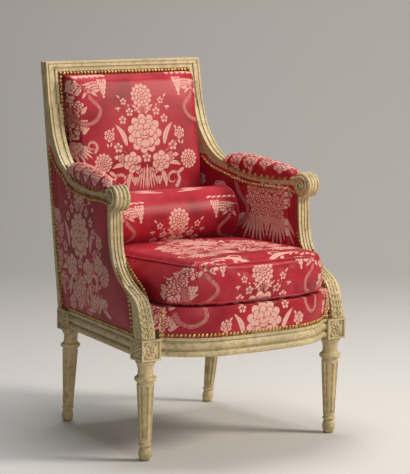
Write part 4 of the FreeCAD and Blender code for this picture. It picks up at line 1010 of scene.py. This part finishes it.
inside = bpy.data.objects["right_inside_cloth"]
insideLine = [(493, 701), (468, 683), (432, 671), (397, 662), (362, 653), (328, 647), (294, 644), (260, 643),
              (226, 642), (193, 642), (160, 641), (146, 634)]
nailRow("nails_inside_arm", traced(inside, [(200, y, z - 4) for y, z in insideLine], (1, 0, 0)))
nailRow("nails_inside_support", [(276.5, y, z) for y, z in (
    (147, 630), (146, 600), (142, 550), (130, 510), (104, 478), (68, 452), (34, 430), (14, 405), (-2, 375),
    (-10, 345), (-12, 322))], (-1, -0.05, 0))
nailRow("nails_pad_inside", [
    (237, 398, 687), (242, 363, 673), (248, 328, 664), (253, 294, 661), (258, 260, 661), (263, 227, 662),
    (268, 194, 667), (271, 174, 671)], (-0.9, -0.1, 0.35))
nailRow("nails_pad_outside", [
    (268, 428, 703), (274, 391, 675), (280, 354, 668), (286, 309, 663), (293, 265, 659), (300, 221, 661),
    (304, 194, 664)], (0.9, 0.1, 0.35))
outsideRow("nails_outside_arm", [(y, z - 4) for y, z in (
    (538, 729), (504, 698), (485, 688), (457, 677), (433, 663), (414, 653), (382, 648), (327, 643), (291, 642),
    (247, 642), (203, 644), (160, 641), (152, 630), (152, 600), (148, 550), (135, 510), (108, 478), (78, 452),
    (52, 425), (40, 400), (33, 370), (27, 345), (26, 324))])
outsideRow("nails_outside_low", [(y, 321) for y in range(36, 432, 8)])
outsideRow("nails_outside_rear", [(backFaceY(z) - 15, z) for z in range(330, 740, 8)])
nailRow("nails_front", traced(platform, [(x, -60, 321) for x in range(-262, 263, 4)], (0, 1, 0)), mirror=False)
nailRow("nails_front_ends", traced(platform, [(256.5, -60, z) for z in range(321, 386, 6)], (0, 1, 0)))
ahead, rearward = (0, -1, 0.17), (0, 1, -0.17)
nailRow("nails_back_sides", [(stileOuterX(z) - 40.5, frontFaceY(z) - 2.6, z) for z in range(560, 941, 20)], ahead)
nailRow("nails_back_top", [(x, frontFaceY(939) - 2.6, 939) for x in range(-196, 201, 14)], ahead, False)
nailRow("nails_rear_sides", [(stileOuterX(z) - 20, backFaceY(z) + 1.4, z) for z in range(350, 945, 20)], rearward)
nailRow("nails_rear_top", [(x, backFaceY(942) + 1.4, 942) for x in range(-224, 229, 14)], rearward, False)
print("nails set")


# ---- the strip of cloth under the nails of the back
strip = {"fromEdgeMm": 35.5, "wideMm": 14.0}
bm = bmesh.new()
rings = []
for inset, ahead in ((0, 0.6), (0, 2.2), (strip["wideMm"], 2.2), (strip["wideMm"], 0.6)):
    ring = []
    for side, z in ((-1, 470), (1, 470), (1, 944.5), (-1, 944.5)):
        height = z - inset if z > 900 else z
        half = stileOuterX(z) - strip["fromEdgeMm"] - inset
        ring.append(bm.verts.new(at(side * half, frontFaceY(height) - ahead + 1.0, height)))
    rings.append(ring)
sewTubeFaces(bm, rings)
bmesh.ops.recalc_face_normals(bm, faces=bm.faces[:])
newObject("back_nailing_strip", bm, backCloth, smooth=False)
print("strip laid")


# ---- carving
def blob(bm, place, along, out, sizes):
    # a squashed ball: long axis along, thin axis out, place in metres
    out = Vector(out).normalized()
    along = (Vector(along) - out * Vector(along).dot(out)).normalized()
    turn = Matrix((along, out.cross(along), out)).transposed().to_4x4()
    scale = Matrix.Diagonal((sizes[0] / 1000, sizes[1] / 1000, sizes[2] / 1000, 1))
    bmesh.ops.create_uvsphere(bm, u_segments=10, v_segments=7, radius=1.0,
                              matrix=Matrix.Translation(place) @ turn @ scale)


rosette = {"petals": 8, "ringMm": 10.5, "petalMm": (6.6, 3.9, 3.2), "bossMm": 4.6, "cornerMm": 18.5}
bm = bmesh.new()
for centre, across, out in (
        ((291, -25.4, 286), (1, 0, 0), (0, -1, 0)), ((316.4, 0, 286), (0, 1, 0), (1, 0, 0)),
        ((261.4, 458, 286), (0, 1, 0), (1, 0, 0))):
    across, out, rise = Vector(across), Vector(out), Vector((0, 0, 1))
    middle = at(*centre)
    for k in range(rosette["petals"]):
        angle = 2 * pi * (k + 0.5) / rosette["petals"]
        way = across * cos(angle) + rise * sin(angle)
        blob(bm, middle + way * rosette["ringMm"] / 1000, way, out, rosette["petalMm"])
    blob(bm, middle, rise, out, (rosette["bossMm"], rosette["bossMm"], 4.4))
    for k in range(4):
        way = (across * (1 if k % 2 else -1) + rise * (1 if k // 2 else -1)).normalized()
        spot = middle + way * rosette["cornerMm"] * 1.22 / 1000
        for lean in (-0.75, 0, 0.75):
            turned = Matrix.Rotation(lean, 3, out) @ way
            blob(bm, spot - way * 0.003 + turned * 0.002, turned, out, (5.6, 2.0, 2.6))
mirrorX(bm)
carved = newObject("die_rosettes", bm, beech)

supportCurve = [(0, 1.0), (0.1, 0.968), (0.19, 0.911), (0.28, 0.828), (0.357, 0.618), (0.424, 0.369),
                (0.505, 0.197), (0.633, 0.070), (0.794, 0.019), (1.0, 0.0)]
curveZ = np.array([313 + 313 * a for a, _ in supportCurve])
curveY = np.array([133 - 157 * b for _, b in supportCurve])
acanthus = {"lowMm": 318.0, "highMm": 436.0, "pairs": 8, "halfWidthMm": 16.0}
bm = bmesh.new()
for k in range(acanthus["pairs"] + 1):
    share = k / acanthus["pairs"]
    z = acanthus["lowMm"] + (acanthus["highMm"] - acanthus["lowMm"]) * share
    y, above = np.interp(z, curveZ, curveY), np.interp(z + 6, curveZ, curveY)
    rise = Vector((0, above - y, 6)).normalized()
    out = Vector((0, -rise.z, rise.y))
    half = acanthus["halfWidthMm"] * sqrt(max(0.02, 1 - share ** 2))
    middle = at(297, y, z) + out * 0.0006
    blob(bm, middle, rise, out, (11, 2.4, 3.4))
    for side in (-1, 1):
        for reach, length, wide in ((0.38, 10, 3.2), (0.8, 9, 3.4)):
            way = rise + Vector((side * (0.35 + reach), 0, 0))
            place = middle + Vector((side * half * reach / 1000, 0, 0)) - out * 0.0004
            blob(bm, place, way, out, (length * (1 - share * 0.3), wide, 3.0))
mirrorX(bm)
carved = newObject("support_leaves", bm, beech)

scroll = {"centre": (295.9, 125, 653.5), "radiusMm": 29.6, "halfWidthMm": 22.3, "reeds": 4, "reedMm": 4.6,
          "apartMm": 10.6, "volute": 0.86}
bm = bmesh.new()
tilt = atan(wood["armSlant"])
axis = Vector((cos(tilt), sin(tilt), 0))
forward = Vector((sin(tilt), -cos(tilt), 0))
middle = at(*scroll["centre"])


def ring(bm, centre, first, second, radius, tube, start=0.0, end=2 * pi, shrink=0.0, steps=40):
    # a round bar that runs along an arc or a spiral
    rows = []
    side = first.cross(second)
    for k in range(steps + 1):
        share = k / steps
        angle = start + (end - start) * share
        away = radius * (1 - shrink * share)
        outward = first * cos(angle) + second * sin(angle)
        thick = tube * (1 - 0.35 * shrink * share)
        rows.append([
            bm.verts.new(centre + (outward * (away + thick * cos(t)) + side * thick * sin(t)) / 1000)
            for t in (n * pi / 4 for n in range(8))])
    sewTubeFaces(bm, rows, closed=False)
    bm.faces.new(rows[0][::-1])
    bm.faces.new(rows[-1])


up = Vector((0, 0, 1))
for k in range(scroll["reeds"]):
    shift = (k - (scroll["reeds"] - 1) / 2) * scroll["apartMm"]
    ring(bm, middle + axis * shift / 1000, forward, up, scroll["radiusMm"] - 0.8, scroll["reedMm"],
         radians(-95), radians(125))
for side in (-1, 1):
    face = middle + axis * side * scroll["halfWidthMm"] / 1000
    ring(bm, face, up, forward, 24.0, 2.6, -1.0, -1.0 + 3.6 * pi, scroll["volute"], 60)
    blob(bm, face, up, axis * side, (5, 5, 4))
for k in range(5):
    # the leaf that lies over the back of the scroll
    shift = (k - 2) * 7.6
    way = -forward + up * 0.15 + axis * (k - 2) * 0.12
    blob(bm, middle + (axis * shift - forward * (26 + 4 * (k % 2)) + up * (15.0 + 2 * (k % 2))) / 1000, way, up,
         (17, 4.4, 5.0))
bmesh.ops.recalc_face_normals(bm, faces=bm.faces[:])
mirrorX(bm)
carved = newObject("scroll_carving", bm, beech)
print("carving done")


# ---- floor, lights, camera
shot = {"place": (-3.1188, -4.4128, 1.3193), "yaw": 0.5977, "pitch": -0.1419, "roll": 0.0103, "lens": 161.785}
sweep = {"halfWidth": 9.0, "front": -9.0, "behind": 2.6, "radius": 1.8, "high": 6.0}
sweepPaint = newMaterial("pale studio sweep", {"Base Color": linear("#D2D0CD"), "Roughness": 0.85})[0]
profile = [(sweep["front"], 0.0)] + [
    (sweep["behind"] + sweep["radius"] * sin(t), sweep["radius"] * (1 - cos(t)))
    for t in (n * pi / 48 for n in range(25))] + [(sweep["behind"] + sweep["radius"], sweep["high"])]
bm = bmesh.new()
turned = Matrix.Rotation(-shot["yaw"], 3, "Z")
rows = [[bm.verts.new(turned @ Vector((x, y, z))) for x in (-sweep["halfWidth"], sweep["halfWidth"])]
        for y, z in profile]
for one, two in zip(rows, rows[1:]):
    bm.faces.new((one[0], one[1], two[1], two[0]))
floor = newObject("floor", bm, sweepPaint, None)

world = bpy.data.worlds.new("studio")
scene.world = world
world.use_nodes = True
tree = world.node_tree
tree.nodes.clear()
sky = addNode(tree, "Background", links={"Color": linear("#F2F2F4"), "Strength": 0.14})
addNode(tree, "OutputWorld", links={"Surface": sky.outputs[0]})

lamps = {
    "key": {"place": (2.9, -2.5, 2.9), "size": 1.3, "watts": 172.0, "colour": "#FFF6EA"},
    "top": {"place": (0.2, 0.4, 2.9), "size": 1.2, "watts": 44.0, "colour": "#FFFFFF"},
    "front": {"place": (-1.0, -4.1, 1.3), "size": 1.4, "watts": 48.0, "colour": "#FFFFFF"},
}
for name, lamp in lamps.items():
    light = bpy.data.lights.new(name, "AREA")
    light.shape = "DISK"
    light.size = lamp["size"]
    light.energy = lamp["watts"]
    light.color = linear(lamp["colour"])[:3]
    holder = bpy.data.objects.new(name, light)
    holder.location = lamp["place"]
    holder.rotation_euler = (Vector((0, 0, 0.5)) - Vector(lamp["place"])).to_track_quat("-Z", "Y").to_euler()
    scene.collection.objects.link(holder)

pitch, yaw, rollAngle = shot["pitch"], shot["yaw"], shot["roll"]
look = Vector((sin(yaw) * cos(pitch), cos(yaw) * cos(pitch), sin(pitch)))
across = Vector((cos(yaw), -sin(yaw), 0))
upward = across.cross(look)
right = across * cos(rollAngle) + upward * sin(rollAngle)
top = upward * cos(rollAngle) - across * sin(rollAngle)
camera = bpy.data.objects.new("camera", bpy.data.cameras.new("camera"))
camera.data.lens = shot["lens"]
camera.data.sensor_width = 36.0
camera.data.clip_end = 100
turn = Matrix((right, top, -look)).transposed().to_4x4()
camera.matrix_world = Matrix.Translation(Vector(shot["place"]) + Vector((0, legY, 0))) @ turn
scene.collection.objects.link(camera)
scene.camera = camera
scene.view_settings.view_transform = "Standard"
print("studio set")
